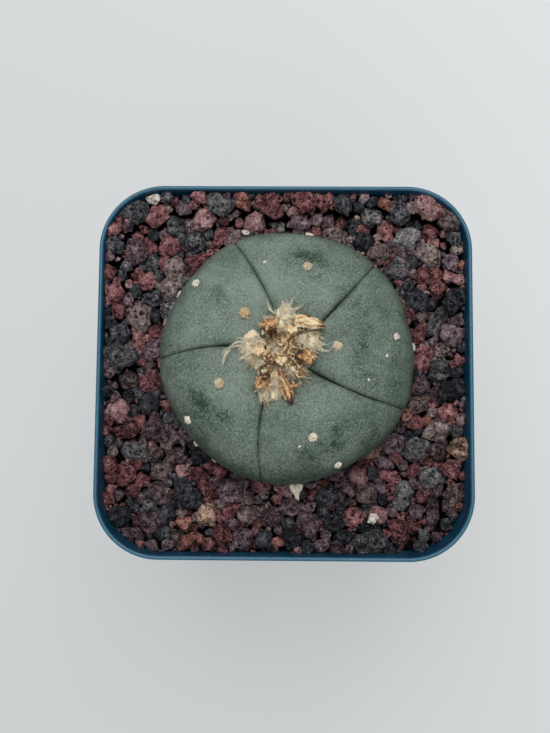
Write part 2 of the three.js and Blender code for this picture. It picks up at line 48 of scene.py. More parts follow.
POT_HEIGHT = 70
RIM_HALF = 40
FOOT_HALF = 30.3
RIM_CORNER = 13.9
FOOT_CORNER = 10.4
WALL = 0.95
COLLAR_DEPTH = 14
COLLAR_STEP = 0.5
FOOT_RING = 6.5
FOOT_RING_THICK = 2
RIM_ROUNDING = 0.42
FOOT_ROUNDING = (0.8, 0.6)
FLOOR_RISE = 2
FLOOR_THICK = 1.2
HOLE_RADIUS = 3.4
HOLE_SPACING = 15
NOTCH_WIDTH = 12
NOTCH_HEIGHT = 1
GAP = 0.3

GRAVEL_DEPTH = 5.2
GRAVEL_SLOPE_X = 0.01
GRAVEL_SLOPE_Y = -0.03
CORNER_SINK = 1.6
BANK = 2.8
BANK_WIDTH = 8
BED_BELOW_TOPS = 2.6
FILL_SIZES = [4.9, 4.2, 3.6]
TRIES_PER_SIZE = [900, 1300, 300]
FLATNESS = 0.85
PACKING = 0.41
FROM_WALL = 0.36
STEM_RADIUS_AT_GRAVEL = 23.2
GRAVEL_SEED = 20

# The grit that the solids leave out: mean widths, tries, how close it packs, how far it is raised, and
# how far it is pressed to the wall.
GRIT_SIZES = [3.2, 2.7, 2.2, 1.8, 1.4]
GRIT_TRIES = [3000, 4000, 5000, 5000, 6000]
GRIT_PACKING = 0.32
GRIT_RISE = 0.35
GRIT_PRESS = 0.1

# The fine stones are a little fuller than the solids' hulls, so that they touch. Against the walls they
# also ride up and lean out, but stay that far under the rim and off the wall.
STONE_SWELL = 1.1
WALL_LIFT = 0.8
WALL_LEAN = 0.35
UNDER_RIM = 0.1
OFF_WALL = 0.02

# The largest stones: x, y, length, width, turn of the length from +X in degrees, and their lava.
LARGE_STONES = [
    (18, -36, 8.5, 5.5, 15, "grey"), (-35.6, 3, 9, 6, -10, "grey"), (28.5, 16, 7.5, 5.5, -45, "black"),
    (33, 11.5, 9, 4.2, 60, "grey"), (-31.5, 12, 6.5, 6, 0, "brown"), (-32.5, 34.5, 6.5, 5.5, 0, "black"),
    (30.5, 36, 7, 5.5, -80, "pink"), (24.5, -34, 8.5, 4.4, -65, "red"),
    (-21.5, -26.5, 7, 5.2, -70, "black"), (-29, -32.5, 7, 4.6, -80, "mauve"),
    (-17.5, -23.5, 8.5, 4.2, -60, "red"), (-11, -25.5, 6.5, 5.2, -15, "mauve"),
    (37.5, -16, 6, 5.2, 0, "tan"), (24.5, 35, 6, 5, -60, "black"), (28.5, -16, 6, 5.2, 0, "grey"),
    (-32.5, -17, 6.5, 4.6, -10, "grey"), (35.5, 32.5, 5.6, 5.2, 0, "brown"), (4, 37, 5.6, 5, -20, "red"),
    (-18, 33.5, 5.6, 5, 90, "pink"), (17.5, -26, 5.6, 5, 90, "brown"),
    (-16.5, -30.5, 5.6, 4.6, -75, "tan"), (-34, -12.5, 6.5, 4.2, 10, "red"),
    (32, -29.5, 8.5, 3.4, -90, "mauve"), (36, -25.5, 6, 4.2, 35, "brown"),
    (-35.5, -8.5, 5.2, 4.8, 0, "pink"), (12.5, 36.5, 6.5, 3.8, 90, "black"), (17, 29, 5, 4.6, 0, "black"),
    (-35.5, 8, 5, 4.6, 20, "black"), (36.4, 15.6, 7, 4.8, 60, "black"),
    (-19.5, -36, 6.5, 3.8, 30, "orange"), (-34, -22, 5, 4.6, -50, "red"), (10.5, -32, 5, 4.6, 0, "black"),
    (-26.5, -21.5, 5, 4.6, 0, "brown"), (22.5, -22, 6.5, 3.4, -10, "red"), (-14.5, 30, 6, 3.8, 65, "red"),
    (8.5, 37, 5.6, 3.6, 75, "red"),
]

# The lavas: how many of a hundred stones are of each, and its tones from pore and body to dust and fleck.
# The pore tone is mostly painted shade: the near black in pores and pits, and in the darkest grains.
LAVAS = {
    "red": (26, 0x120A0D, 0x523133, 0x8D6061, 0xB58C88),
    "mauve": (22, 0x110D10, 0x45373E, 0x7A676D, 0xA59498),
    "black": (20, 0x08080B, 0x1F2026, 0x44454A, 0x7B7979),
    "brown": (15, 0x110D0E, 0x433738, 0x7C6C6A, 0xA69A94),
    "pink": (5, 0x1F1517, 0x6A4A4C, 0x9C7878, 0xC2A6A0),
    "orange": (2.5, 0x1A0D0C, 0x603B36, 0x986C62, 0xBC9488),
    "grey": (8.6, 0x0F0E11, 0x363539, 0x676567, 0x9C9791),
    "tan": (0.4, 0x2B201D, 0x7C6457, 0xBA9C89, 0xDBC6B2),
    "pale": (0.5, 0x54493F, 0xA9A096, 0xE2DCD4, 0xF6F3EE),
}

# White bits that lie on top: x, y and width.
PALE_BITS = [(19, -31.2, 2.3), (-8.6, 30.5, 1.5)]

# The stem, with a sharp crease in the bottom of each furrow.
STEM_X = 0.6
STEM_Y = 2.2
LEAN = 0.5
FURROW_DEPTH = 1.1
FURROW_WIDTH = 0.55
CREASE_DEPTH = 0.5
CREASE_WIDTH = 0.11
RIB_RISE = 0.6
PENTAGON = 0.44
STEM_PROFILE = [
    (0, 8.4), (3.4, 8.7), (7.2, 10.2), (11.8, 11.2), (16.8, 10.6),
    (21.3, 8.7), (24.9, 5.4), (26.3, 1.4), (25.4, -2.4), (22.6, -6),
]
ROOT_PROFILE = [(22.6, -6), (18.6, -11), (14.6, -18), (10.4, -28), (6.2, -40), (2.6, -50), (0, -54)]
FURROW_MIDDLE_RADIUS = 17
FURROWS = [(44.4, 0.2), (110.8, 0.5), (175.8, 0.65), (250.4, 0.9), (331, 0.45)]
SHOULDER = 0.78

# Woolly buttons on the ribs: radius seen from above, or how far below the shoulder, azimuth, width
# and how fresh the wool is, from 0, brown, to 1, white. A tall one is drawn out to a point, that far
# off the skin.
AREOLES = [
    {"r": 18.3, "azimuth": 77, "width": 2.1, "fresh": 0.4},
    {"r": 10.4, "azimuth": 7.7, "width": 2.2, "fresh": 0.45},
    {"r": 22.7, "azimuth": 9.3, "width": 1.5, "fresh": 0.75},
    {"r": 17.9, "azimuth": 287.5, "width": 2, "fresh": 0.65},
    {"r": 25, "azimuth": 295, "width": 1.7, "fresh": 1},
    {"r": 15, "azimuth": 205, "width": 2.3, "fresh": 0.4},
    {"r": 24.4, "azimuth": 214, "width": 1.8, "fresh": 1},
    {"r": 11.8, "azimuth": 137, "width": 2.5, "fresh": 0.25},
    {"r": 24, "azimuth": 142.3, "width": 1.9, "fresh": 0.85},
    {"below": 0.4, "azimuth": 80, "width": 2, "fresh": 1},
    {"below": 0.7, "azimuth": 4.6, "width": 1.9, "fresh": 0.9},
    {"below": 1.8, "azimuth": 224, "width": 1.7, "fresh": 1},
    {"below": 1, "azimuth": 150, "width": 1.8, "fresh": 0.9},
    {"below": 3.2, "azimuth": 274, "width": 3, "tall": 3.4, "fresh": 0.85},
    {"below": 4.8, "azimuth": 308, "width": 1.8, "fresh": 0.85},
]

# Smudges of bare green skin where the bloom is rubbed off: x and y from the stem's axis, half length
# and half width, turn, and how bare.
SMUDGES = [
    (4.6, 20, 5, 2, -12, 0.8), (5.5, 16.4, 2.4, 0.9, 20, 0.5), (15.4, 1.8, 3.6, 1.7, 80, 0.8),
    (11.2, 4.6, 2.2, 0.9, 30, 0.5), (9, -18.2, 3.2, 1.6, 50, 1), (4.6, -20.2, 2.8, 1, -5, 0.7),
    (-17.2, -10, 3.2, 1.5, -60, 0.85), (-14.6, -12.2, 2.8, 1.2, -15, 0.8), (-14, 12.2, 2, 1.8, 0, 0.7),
]

# Where the bloom is thickest: x and y from the stem's axis, and how far it reaches.
BLOOM_PATCHES = [(-10, 10, 9), (3, 15, 6), (-1.5, -12, 4), (8, -2, 3.5)]

# Pale corky specks on the skin: radius seen from above, azimuth and width.
SPECKS = [(19.5, 104, 0.7), (6.6, 294, 0.9), (17.5, 342, 0.6), (20.3, 359, 0.7), (19.1, 278, 0.6)]

# Wool lobes in the crown: centre from the stem's axis, half-lengths, turn, how fresh the wool is, and
# the azimuth that its hairs are combed to. Those of the first, the core, lie every way. The core's wool
# is darker: partly older wool, partly painted shade under the flowers and the other lobes.
WOOL_LOBES = [
    {"at": (-0.6, 0.4), "size": (5.9, 6.3, 1.5), "turn": 0, "fresh": 0.35},
    {"at": (-0.4, 7), "size": (2.1, 2.7, 1.5), "turn": 0, "fresh": 0.85, "comb": 72},
    {"at": (-2.8, 5.4), "size": (2.2, 2, 1.2), "turn": 20, "fresh": 0.55, "comb": 160},
    {"at": (4.5, 2.5), "size": (2.7, 2.4, 1.6), "turn": 0, "fresh": 0.95, "comb": 335},
    {"at": (-6.6, 0.6), "size": (2.7, 3.7, 1.5), "turn": 15, "fresh": 0.85, "comb": 214},
    {"at": (1.3, -3.5), "size": (2.4, 1.9, 1.2), "turn": 20, "fresh": 0.55, "comb": 310},
    {"at": (-3.7, -6.6), "size": (2.5, 3.3, 1.5), "turn": 0, "fresh": 0.7, "comb": 262},
]

# Strands of wool that lie out over the skin: foot from the stem's axis, azimuth and length.
STRANDS = [
    (-8.4, 0.6, 188, 4.6), (-8.8, 2, 200, 3.2), (-11.6, 0.4, 250, 4.4), (0.8, 8.6, 25, 2.8),
    (0.2, 9, 62, 2.6), (-2.6, 8, 118, 3), (-4.6, -8.4, 262, 2.4), (7, 1, 350, 2),
]

# Dried flowers: foot from the stem's axis, azimuth and rise of the way it points, length and width,
# the widths of foot and tip over that, how far it swells between them, how dark it has dried, and
# whether its end is a closed cap.
DRIED_FLOWERS = [
    {"at": (-1.6, -3.5), "azimuth": 288, "rise": 5, "length": 7.4, "width": 2.4, "foot": 0.4, "tip": 0.35,
     "belly": 0.62, "dark": 0.27},
    {"at": (-3.2, 4.4), "azimuth": 120, "rise": 62, "length": 2.4, "width": 3.3, "foot": 0.75, "tip": 1,
     "belly": -0.1, "dark": 0.44, "cap": True},
    {"at": (0.6, 3.4), "azimuth": 80, "rise": 66, "length": 2.6, "width": 2.3, "foot": 0.8, "tip": 1.05,
     "belly": -0.1, "dark": 0.1, "cap": True},
    {"at": (2.3, -0.6), "azimuth": 340, "rise": 52, "length": 2.9, "width": 3.5, "foot": 0.75, "tip": 1,
     "belly": 0.05, "dark": 0.35, "cap": True},
    {"at": (-4.3, -0.6), "azimuth": 150, "rise": 62, "length": 2.6, "width": 2.6, "foot": 0.8, "tip": 1,
     "belly": -0.05, "dark": 0.16, "cap": True},
    {"at": (-1.9, -1.1), "azimuth": 280, "rise": 74, "length": 2.8, "width": 2, "foot": 0.7, "tip": 1.1,
     "belly": -0.1, "dark": 0.12, "cap": True},
    {"at": (-3.8, -4.5), "azimuth": 238, "rise": 30, "length": 3.6, "width": 2.7, "foot": 0.7, "tip": 0.7,
     "belly": 0.25, "dark": 0.36, "cap": True},
    {"at": (1.7, 6.3), "azimuth": 351, "rise": 8, "length": 5.6, "width": 3, "foot": 0.9, "tip": 0.35,
     "belly": 0.35, "dark": -0.08},
]

# Each is a tube of folded sides, with that many points to a side. How far its rim frays, its folds go in
# and the fine ridges along it stand out are shares of its width. It is seated that far over the skin.
FLOWER_SIDES = 9
SIDE_POINTS = 8
FRAY = 0.26
FOLD_DEPTH = 0.2
FIBRE_RELIEF = 0.2
SEAT_DEPTH = 1.5

# Where scraps of dried tissue lie in the wool: from the stem's axis, how far they spread, how many
# and how dark.
SCRAPS = [
    (-3.2, 4.6, 1.9, 30, 0.38), (0.8, 3.6, 1.3, 12, -0.1), (2.4, -0.4, 2.3, 40, 0.18),
    (-4.2, -1.3, 1.7, 22, 0), (-3.8, -5.2, 1.8, 30, 0.22), (3.8, 5.6, 1.5, 10, -0.05),
    (1.2, -3.9, 1.8, 16, 0.18), (-1, 1.4, 2.2, 20, 0), (0.6, -7, 1.2, 6, 0.1), (-0.4, 0, 5.5, 22, 0.1),
]
SCRAP_THICKNESS = 0.07


# Small tools

def seeded(seed):
    """A seeded source of numbers from 0 to 1, the one that places the stones in the solids."""
    state = [seed & 0xFFFFFFFF]

    def draw():
        state[0] = (state[0] + 0x6D2B79F5) & 0xFFFFFFFF
        mixed = ((state[0] ^ (state[0] >> 15)) * (1 | state[0])) & 0xFFFFFFFF
        mixed = ((mixed + (((mixed ^ (mixed >> 7)) * (61 | mixed)) & 0xFFFFFFFF)) & 0xFFFFFFFF) ^ mixed
        return ((mixed ^ (mixed >> 14)) & 0xFFFFFFFF) / 4294967296

    return draw


def smoothstep(value, low, high):
    t = np.clip((value - low) / (high - low), 0, 1)
    return t * t * (3 - 2 * t)


def spline(points, t):
    """The smooth curve through the points, at t from 0 to 1."""
    points = np.asarray(points, float)
    last = len(points) - 1
    place = np.atleast_1d(np.asarray(t, float)) * last
    first = np.minimum(place.astype(int), last - 1)
    w = (place - first)[:, None]
    before, here = points[np.maximum(first - 1, 0)], points[first]
    after, beyond = points[first + 1], points[np.minimum(first + 2, last)]
    start, end = (after - before) / 2, (beyond - here) / 2
    return ((2 * here - 2 * after + start + end) * w ** 3
            + (3 * after - 3 * here - 2 * start - end) * w ** 2 + start * w + here)


def turned(points, turn):
    """The points turned about Z, in radians."""
    cos, sin = math.cos(turn), math.sin(turn)
    x, y, z = points.T
    return np.stack([x * cos - y * sin, x * sin + y * cos, z], axis=1)


def rough(points, size, octaves=3):
    """Fractal noise at each point, from about -1 to 1, with lumps of that size."""
    scaled = points / size
    return np.array([noise.fractal(Vector(p), 0.9, 2.1, octaves) for p in scaled])


def crumpled(points, size, amount):
    """The points, each strayed by that much, in dents of that size."""
    return points + amount * np.column_stack([rough(points + 30 * axis, size, 3) for axis in range(3)])


def pits(points, spacing, share):
    """0 on the skin to 1 in the middle of a round pit, in that share of the cells of a foam."""
    depth = np.zeros(len(points))
    for i, p in enumerate(points / spacing):
        apart, centres = noise.voronoi(Vector(p))
        if noise.cell(centres[0] * 7.3) < share:
            depth[i] = max(0.0, 1 - apart[0] / 0.55)
    return depth * depth * (3 - 2 * depth)


def ball(level):
    """Points and triangles of a unit sphere, split that often."""
    mesh = bmesh.new()
    bmesh.ops.create_icosphere(mesh, subdivisions=level, radius=1)
    points = np.array([v.co[:] for v in mesh.verts])
    faces = np.array([[v.index for v in f.verts] for f in mesh.faces])
    mesh.free()
    return points, faces


def grid_faces(rows, columns):
    """Four-cornered faces over a grid of points, row by row. Each row closes on itself."""
    row, column = np.meshgrid(np.arange(rows - 1), np.arange(columns), indexing="ij")
    a, b = row * columns + column, row * columns + (column + 1) % columns
    return np.stack([a, b, b + columns, a + columns], axis=-1).reshape(-1, 4)


def fan(count, start, middle, over=False):
    """Triangles between a ring of that many points, from start on, and a middle point, or the same turned
    over."""
    ring = np.arange(count)
    sides = [ring + start, (ring + 1) % count + start]
    return np.stack([np.full(count, middle), *(sides[::-1] if over else sides)], axis=1)


def heading(angle, rise=0.0):
    """The way that an angle in radians points on the level, and that far up."""
    return np.array([math.cos(angle), math.sin(angle), rise])


class Heap:
    """Points and faces, with a shade and a second value for each point, gathered until they become one piece.
    """

    def __init__(self):
        self.points = []
        self.faces = []
        self.values = {"shade": [], "wear_and_pit_shade": []}
        self.count = 0

    # On the stem the second value is wear; on the stones it is the depth of their pits, painted as shade.
    def add(self, points, faces, shade=0.5, wear_and_pit_shade=0.0):
        self.points.append(points)
        self.faces.append(faces + self.count)
        self.values["shade"].append(np.broadcast_to(shade, len(points)))
        self.values["wear_and_pit_shade"].append(np.broadcast_to(wear_and_pit_shade, len(points)))
        self.count += len(points)

    def piece(self, name, finish, slot, *nodes):
        corners = np.concatenate([f.ravel() for f in self.faces]).astype(np.int32)
        sides = np.concatenate([np.full(len(f), f.shape[1]) for f in self.faces])
        starts = np.concatenate([[0], np.cumsum(sides)[:-1]]).astype(np.int32)
        mesh = bpy.data.meshes.new(name)
        mesh.vertices.add(self.count)
        mesh.vertices.foreach_set("co", (np.concatenate(self.points) * MM).ravel().astype(np.float32))
        mesh.loops.add(len(corners))
        mesh.loops.foreach_set("vertex_index", corners)
        mesh.polygons.add(len(starts))
        mesh.polygons.foreach_set("loop_start", starts)
        mesh.update(calc_edges=True)
        mesh.validate()
        mesh.shade_smooth()
        for label, values in self.values.items():
            layer = mesh.attributes.new(label, "FLOAT", "POINT")
            layer.data.foreach_set("value", np.concatenate(values).astype(np.float32))
        dressed(placed(name, mesh), finish, slot, *nodes)


def placed(name, data):
    """A new object in the scene."""
    made = bpy.data.objects.new(name, data)
    bpy.context.scene.collection.objects.link(made)
    return made


def dressed(piece, finish, slot, *nodes):
    """The piece with its finish, standing for the named solids."""
    piece.data.materials.clear()
    piece.data.materials.append(finish)
    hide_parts(*nodes)
    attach(piece, "root")


# Finishes

def linear(hex_value):
    """An sRGB hex value as linear red, green, blue and 1."""
    parts = [((hex_value >> shift) & 255) / 255 for shift in (16, 8, 0)]
    return (*[p / 12.92 if p <= 0.04045 else ((p + 0.055) / 1.055) ** 2.4 for p in parts], 1)


def add(tree, kind, inputs=(), stops=(), **settings):
    """One node, with its settings made and its sockets set or linked. A node among the inputs stands for
    its first output in use. The stops are a colour ramp's, each a place from 0 to 1 and an sRGB hex value."""
    made = tree.nodes.new("ShaderNode" + kind)
    for name, value in settings.items():
        setattr(made, name, value)
    for key, value in dict(inputs).items():
        if isinstance(value, bpy.types.Node):
            value = next(output for output in value.outputs if output.enabled)
        if isinstance(value, bpy.types.NodeSocket):
            tree.links.new(value, made.inputs[key])
        else:
            made.inputs[key].default_value = value
    for number, (place, hex_value) in enumerate(stops):
        elements = made.color_ramp.elements
        if number >= len(elements):
            elements.new(place)
        elements[number].position = place
        elements[number].color = linear(hex_value)
    return made


def new_finish(name):
    """An empty material, its node tree, and the place on the object, in metres."""
    finish = bpy.data.materials.new(name)
    finish.use_nodes = True
    finish.node_tree.nodes.clear()
    return finish, finish.node_tree, add(finish.node_tree, "TexCoord").outputs["Object"]


def per(size):
    """The scale of a pattern whose cells are that many millimetres wide."""
    return 1 / (size * MM)


def scoria(name, *tones):
    """Scoria, a foamed lava broken to gravel: dull and sandy, with pores painted dark as shade, and pale dust
    and flecks.
    """
    finish, tree, place = new_finish(name)
    shade = add(tree, "Attribute", attribute_name="shade").outputs["Fac"]
    pit = add(tree, "Attribute", attribute_name="wear_and_pit_shade").outputs["Fac"]

    # The lump's own tone, in clouds about 1.5 mm wide, broken by grains and flecks of crystal. Those are
    # 0.15 mm wide, and drawn at 0.4 mm so that they show. They also make the bump, so the tone is darkest in
    # their hollows, partly as painted shade.
    clouds = add(tree, "TexNoise", {"Vector": place, "Scale": per(1.5), "Detail": 2, "Roughness": 0.6})
    tone = add(tree, "Math", {0: shade, 1: 0.35, 2: clouds}, operation="MULTIPLY_ADD")
    grain = add(tree, "TexNoise", {"Vector": place, "Scale": per(0.4), "Detail": 3, "Roughness": 0.7})
    sandy = add(tree, "Math", {0: grain, 1: 1.5, 2: tone}, operation="MULTIPLY_ADD")

    # A few open pores 0.2 to 0.4 mm wide among them. They and the pits are painted near black inside, as
    # shade.
    warp = add(tree, "TexNoise", {"Vector": place, "Scale": per(0.6), "Detail": 2})
    bent = add(tree, "VectorMath", {0: warp.outputs["Color"], 1: (0.9 * MM,) * 3}, operation="MULTIPLY")
    strayed = add(tree, "VectorMath", {0: place, 1: bent}, operation="ADD")
    foam = add(tree, "TexVoronoi", {"Vector": strayed, "Scale": per(0.8), "Randomness": 1})
    some = add(tree, "SeparateColor", {"Color": foam.outputs["Color"]}).outputs["Red"]
    reach = add(tree, "MapRange", {"Value": some, "From Min": 0.68, "From Max": 1, "To Max": 0.3})
    edge = add(tree, "Math", {0: foam, 1: reach}, operation="SUBTRACT")
    closed = add(tree, "MapRange", {"Value": edge, "From Min": -0.02, "From Max": 0.14})
    opened = add(tree, "Math", {0: closed, 1: pit}, operation="SUBTRACT", use_clamp=True)
    level = add(tree, "MapRange", {"Value": sandy, "From Min": 0.9, "From Max": 1.85})
    # Painted shade: the pores and pits take the darkest tone.
    pore_shaded = add(tree, "Math", {0: level, 1: opened}, operation="MULTIPLY")
    colour = add(tree, "ValToRGB", {"Fac": pore_shaded}, zip((0.12, 0.42, 0.74, 1), tones))

    # The grains stand out, and the pores go in.
    relief = add(tree, "Math", {0: grain, 1: 0.9, 2: opened}, operation="MULTIPLY_ADD")
    bump = add(tree, "Bump", {"Height": relief, "Strength": 1, "Distance": 0.22 * MM})
    surface = add(tree, "BsdfPrincipled", {
        "Base Color": colour, "Roughness": 0.95, "Specular IOR Level": 0.15, "Normal": bump})
    add(tree, "OutputMaterial", {"Surface": surface})
    return finish


def waxy_skin():
    """A living epidermis under a pale wax bloom: matte, stippled, darker where the bloom is off, with painted
    crease shade.
    """
    finish, tree, place = new_finish("waxy_skin")
    worn = add(tree, "Attribute", attribute_name="wear_and_pit_shade").outputs["Fac"]
    shade = add(tree, "Attribute", attribute_name="shade").outputs["Fac"]

    # Green flesh to grey-green bloom, in clouds 7 mm wide. The cells under the bloom are 0.1 mm wide,
    # and drawn at 0.4 mm so that they show.
    wide = add(tree, "TexNoise", {"Vector": place, "Scale": per(7), "Detail": 5, "Roughness": 0.6})
    cells = add(tree, "TexNoise", {"Vector": place, "Scale": per(0.4), "Detail": 1, "Roughness": 0.6})
    # The shade at each point is the bloom, with its painted light and the creases' painted shade.
    clouds = add(tree, "Math", {0: wide, 1: 1.8, 2: shade}, operation="MULTIPLY_ADD")
    grained = add(tree, "Math", {0: cells, 1: 2, 2: clouds}, operation="MULTIPLY_ADD")
    thick = add(tree, "Math", {0: grained, 1: worn}, operation="SUBTRACT")
    level = add(tree, "MapRange", {"Value": thick, "From Min": 1.65, "From Max": 2.85})
    skin = add(tree, "Mix", {"Factor": level, "A": linear(0x2B3F2E), "B": linear(0x78867C)}, data_type="RGBA")

    # Pale wax points about 0.25 mm wide, in patches.
    stipple = add(tree, "TexVoronoi", {"Vector": place, "Scale": per(0.5), "Randomness": 1})
    dots = add(tree, "MapRange", {"Value": stipple, "From Min": 0.5, "From Max": 0.15})
    patchy = add(tree, "TexNoise", {"Vector": place, "Scale": per(2.5), "Detail": 4, "Roughness": 0.7})
    where = add(tree, "MapRange", {"Value": patchy, "From Min": 0.4, "From Max": 0.68, "To Max": 0.5})
    strength = add(tree, "Math", {0: dots, 1: where}, operation="MULTIPLY")
    dotted = add(tree, "Mix", {"Factor": strength, "A": skin, "B": linear(0xA2AFA5)}, data_type="RGBA")

    # The bottom of a furrow is painted near black as shade, where the ribs press together.
    lit = add(tree, "MapRange", {"Value": thick, "From Min": 0.7, "From Max": 1.6})
    furrow_shaded = add(tree, "Mix", {"Factor": lit, "A": linear(0x0C150F), "B": dotted}, data_type="RGBA")

    # A fine uneven skin 0.5 mm across, with the wax points standing out. Thick bloom is the dullest.
    fine = add(tree, "TexNoise", {"Vector": place, "Scale": per(0.5), "Detail": 4, "Roughness": 0.7})
    relief = add(tree, "Math", {0: strength, 1: 0.8, 2: fine}, operation="MULTIPLY_ADD")
    bump = add(tree, "Bump", {"Height": relief, "Strength": 0.5, "Distance": 0.1 * MM})
    gloss = add(tree, "MapRange", {"Value": level, "To Min": 0.5, "To Max": 0.72})
    surface = add(tree, "BsdfPrincipled", {
        "Base Color": furrow_shaded, "Roughness": gloss, "IOR": 1.45, "Specular IOR Level": 0.4, "Normal": bump})
    add(tree, "OutputMaterial", {"Surface": surface})
    return finish


def plant_wool(name, aged, fresh):
    """Plant wool: dry hollow hairs, dull with a soft pale sheen, cream when young and brown with age."""
    finish, tree, place = new_finish(name)
    shade = add(tree, "Attribute", attribute_name="shade").outputs["Fac"]

    # Young and old wool lie in tufts 0.8 mm wide. The hairs in them are 0.03 mm thick, and drawn at
    # 0.18 mm so that they show.
    tufts = add(tree, "TexNoise", {"Vector": place, "Scale": per(0.8), "Detail": 5, "Roughness": 0.75})
    tone = add(tree, "Math", {0: tufts, 1: 0.9, 2: shade}, operation="MULTIPLY_ADD")
    level = add(tree, "MapRange", {"Value": tone, "From Min": 0.55, "From Max": 1.2})
    coat = add(tree, "Mix", {"Factor": level, "A": linear(aged), "B": linear(fresh)}, data_type="RGBA")
    fibre = add(tree, "TexNoise", {"Vector": place, "Scale": per(0.18), "Detail": 4, "Distortion": 1.5})
    bump = add(tree, "Bump", {"Height": fibre, "Strength": 0.8, "Distance": 0.15 * MM})
    surface = add(tree, "BsdfPrincipled", {
        "Base Color": coat, "Roughness": 0.95, "Specular IOR Level": 0.2, "Normal": bump,
        "Sheen Weight": 0.6, "Sheen Tint": linear(0xFFF3DC), "Sheen Roughness": 0.5})
    add(tree, "OutputMaterial", {"Surface": surface})
    return finish


def dried_petal():
    """Dried flower tissue: papery, creased and slightly waxy; tan on its ridges and brown in its folds, as
    painted light and shade.
    """
    finish, tree, place = new_finish("dried_petal")
    dark = add(tree, "Attribute", attribute_name="shade").outputs["Fac"]

    # Blots 0.7 mm wide, in the tones of old paper, and creases 0.3 mm apart.
    blots = add(tree, "TexNoise", {"Vector": place, "Scale": per(0.7), "Detail": 4, "Roughness": 0.7})
    tone = add(tree, "Math", {0: blots, 1: 0.9, 2: dark}, operation="MULTIPLY_ADD")
    colour = add(tree, "ValToRGB", {"Fac": tone},
                 [(0.42, 0xF2E1BD), (0.58, 0xDFBC89), (0.75, 0xBC8C5D), (0.9, 0x835E40), (1, 0x493224)])
    creases = add(tree, "TexNoise", {"Vector": place, "Scale": per(0.3), "Detail": 4, "Roughness": 0.65})
    bump = add(tree, "Bump", {"Height": creases, "Strength": 0.8, "Distance": 0.2 * MM})
    surface = add(tree, "BsdfPrincipled", {
        "Base Color": colour, "Roughness": 0.55, "Specular IOR Level": 0.45, "Normal": bump})
    add(tree, "OutputMaterial", {"Surface": surface})
    return finish


def moulded_polypropylene():
    """Polypropylene, moulded in teal blue: satin, painted paler on the rim as a highlight, and dark inside
    with fines and painted shade.
    """
    finish, tree, place = new_finish("moulded_polypropylene")
    normal = add(tree, "TexCoord").outputs["Normal"]
    height = add(tree, "SeparateXYZ", {"Vector": place}).outputs["Z"]

    # The colour flows a little unevenly, in clouds 9 mm wide.
    mottle = add(tree, "TexNoise", {"Vector": place, "Scale": per(9), "Detail": 3})
    base = add(tree, "Mix", {"Factor": mottle, "A": linear(0x174A5F), "B": linear(0x1F5A70)},
               data_type="RGBA")

    # The inside is darker in streaks 5 mm wide: partly damp lava fines that cling there, partly painted
    # shade of the deep wall. There the face looks towards the middle.
    flat = add(tree, "VectorMath", {0: place, 1: (1, 1, 0)}, operation="MULTIPLY")
    facing = add(tree, "VectorMath", {0: normal, 1: flat}, operation="DOT_PRODUCT")
    inside = add(tree, "MapRange", {"Value": facing, "From Min": -5 * MM, "From Max": -20 * MM})
    streaks = add(tree, "TexNoise", {"Vector": place, "Scale": per(5), "Detail": 6, "Roughness": 0.7})
    in_streaks = add(tree, "MapRange", {"Value": streaks, "From Min": 0.3, "From Max": 0.6, "To Min": 0.5})
    fines_and_shade_mask = add(tree, "Math", {0: inside, 1: in_streaks}, operation="MULTIPLY")
    fines_and_shade_inside = add(tree, "Mix", {"Factor": fines_and_shade_mask, "A": base, "B": linear(0x023149)}, data_type="RGBA")

    # The rim's top half millimetre is painted paler as a highlight, broken by scuffs about 0.9 mm wide.
    top = POT_HEIGHT * MM
    rim = add(tree, "MapRange", {"Value": height, "From Min": top - 0.5 * MM, "From Max": top})
    scuffs = add(tree, "TexNoise", {"Vector": place, "Scale": per(0.9), "Detail": 6, "Roughness": 0.75})
    marks = add(tree, "MapRange", {
        "Value": scuffs, "From Min": 0.3, "From Max": 0.8, "To Min": 0.1, "To Max": 0.85})
    rim_highlight_and_scuffs = add(tree, "Math", {0: rim, 1: marks}, operation="MULTIPLY")
    worn = add(tree, "Mix", {"Factor": rim_highlight_and_scuffs, "A": fines_and_shade_inside, "B": linear(0x2C6E8A)}, data_type="RGBA")

    # The moulded skin's grain is under 0.1 mm wide, and drawn at 0.35 mm so that it shows.
    skin = add(tree, "TexNoise", {"Vector": place, "Scale": per(0.35), "Detail": 2})
    bump = add(tree, "Bump", {"Height": skin, "Strength": 0.12, "Distance": 0.05 * MM})
    surface = add(tree, "BsdfPrincipled", {
        "Base Color": worn, "Roughness": 0.42, "IOR": 1.49, "Normal": bump})
    add(tree, "OutputMaterial", {"Surface": surface})
    return finish


def fines_in_painted_shade():
    """Lava dust and fines, packed between the stones: dull, and painted near black as the shade in the gaps.
    """
    finish, tree, place = new_finish("fines_in_painted_shade")

    # Grit up to 0.9 mm wide.
    grit = add(tree, "TexNoise", {"Vector": place, "Scale": per(0.9), "Detail": 6, "Roughness": 0.75})
    # Near black: painted shade between the stones.
    tone = add(tree, "Mix", {"Factor": grit, "A": linear(0x020203), "B": linear(0x121012)}, data_type="RGBA")
    bump = add(tree, "Bump", {"Height": grit, "Strength": 1, "Distance": 0.5 * MM})
    surface = add(tree, "BsdfPrincipled", {
        "Base Color": tone, "Roughness": 0.95, "Specular IOR Level": 0.05, "Normal": bump})
    add(tree, "OutputMaterial", {"Surface": surface})
    return finish


# The pot

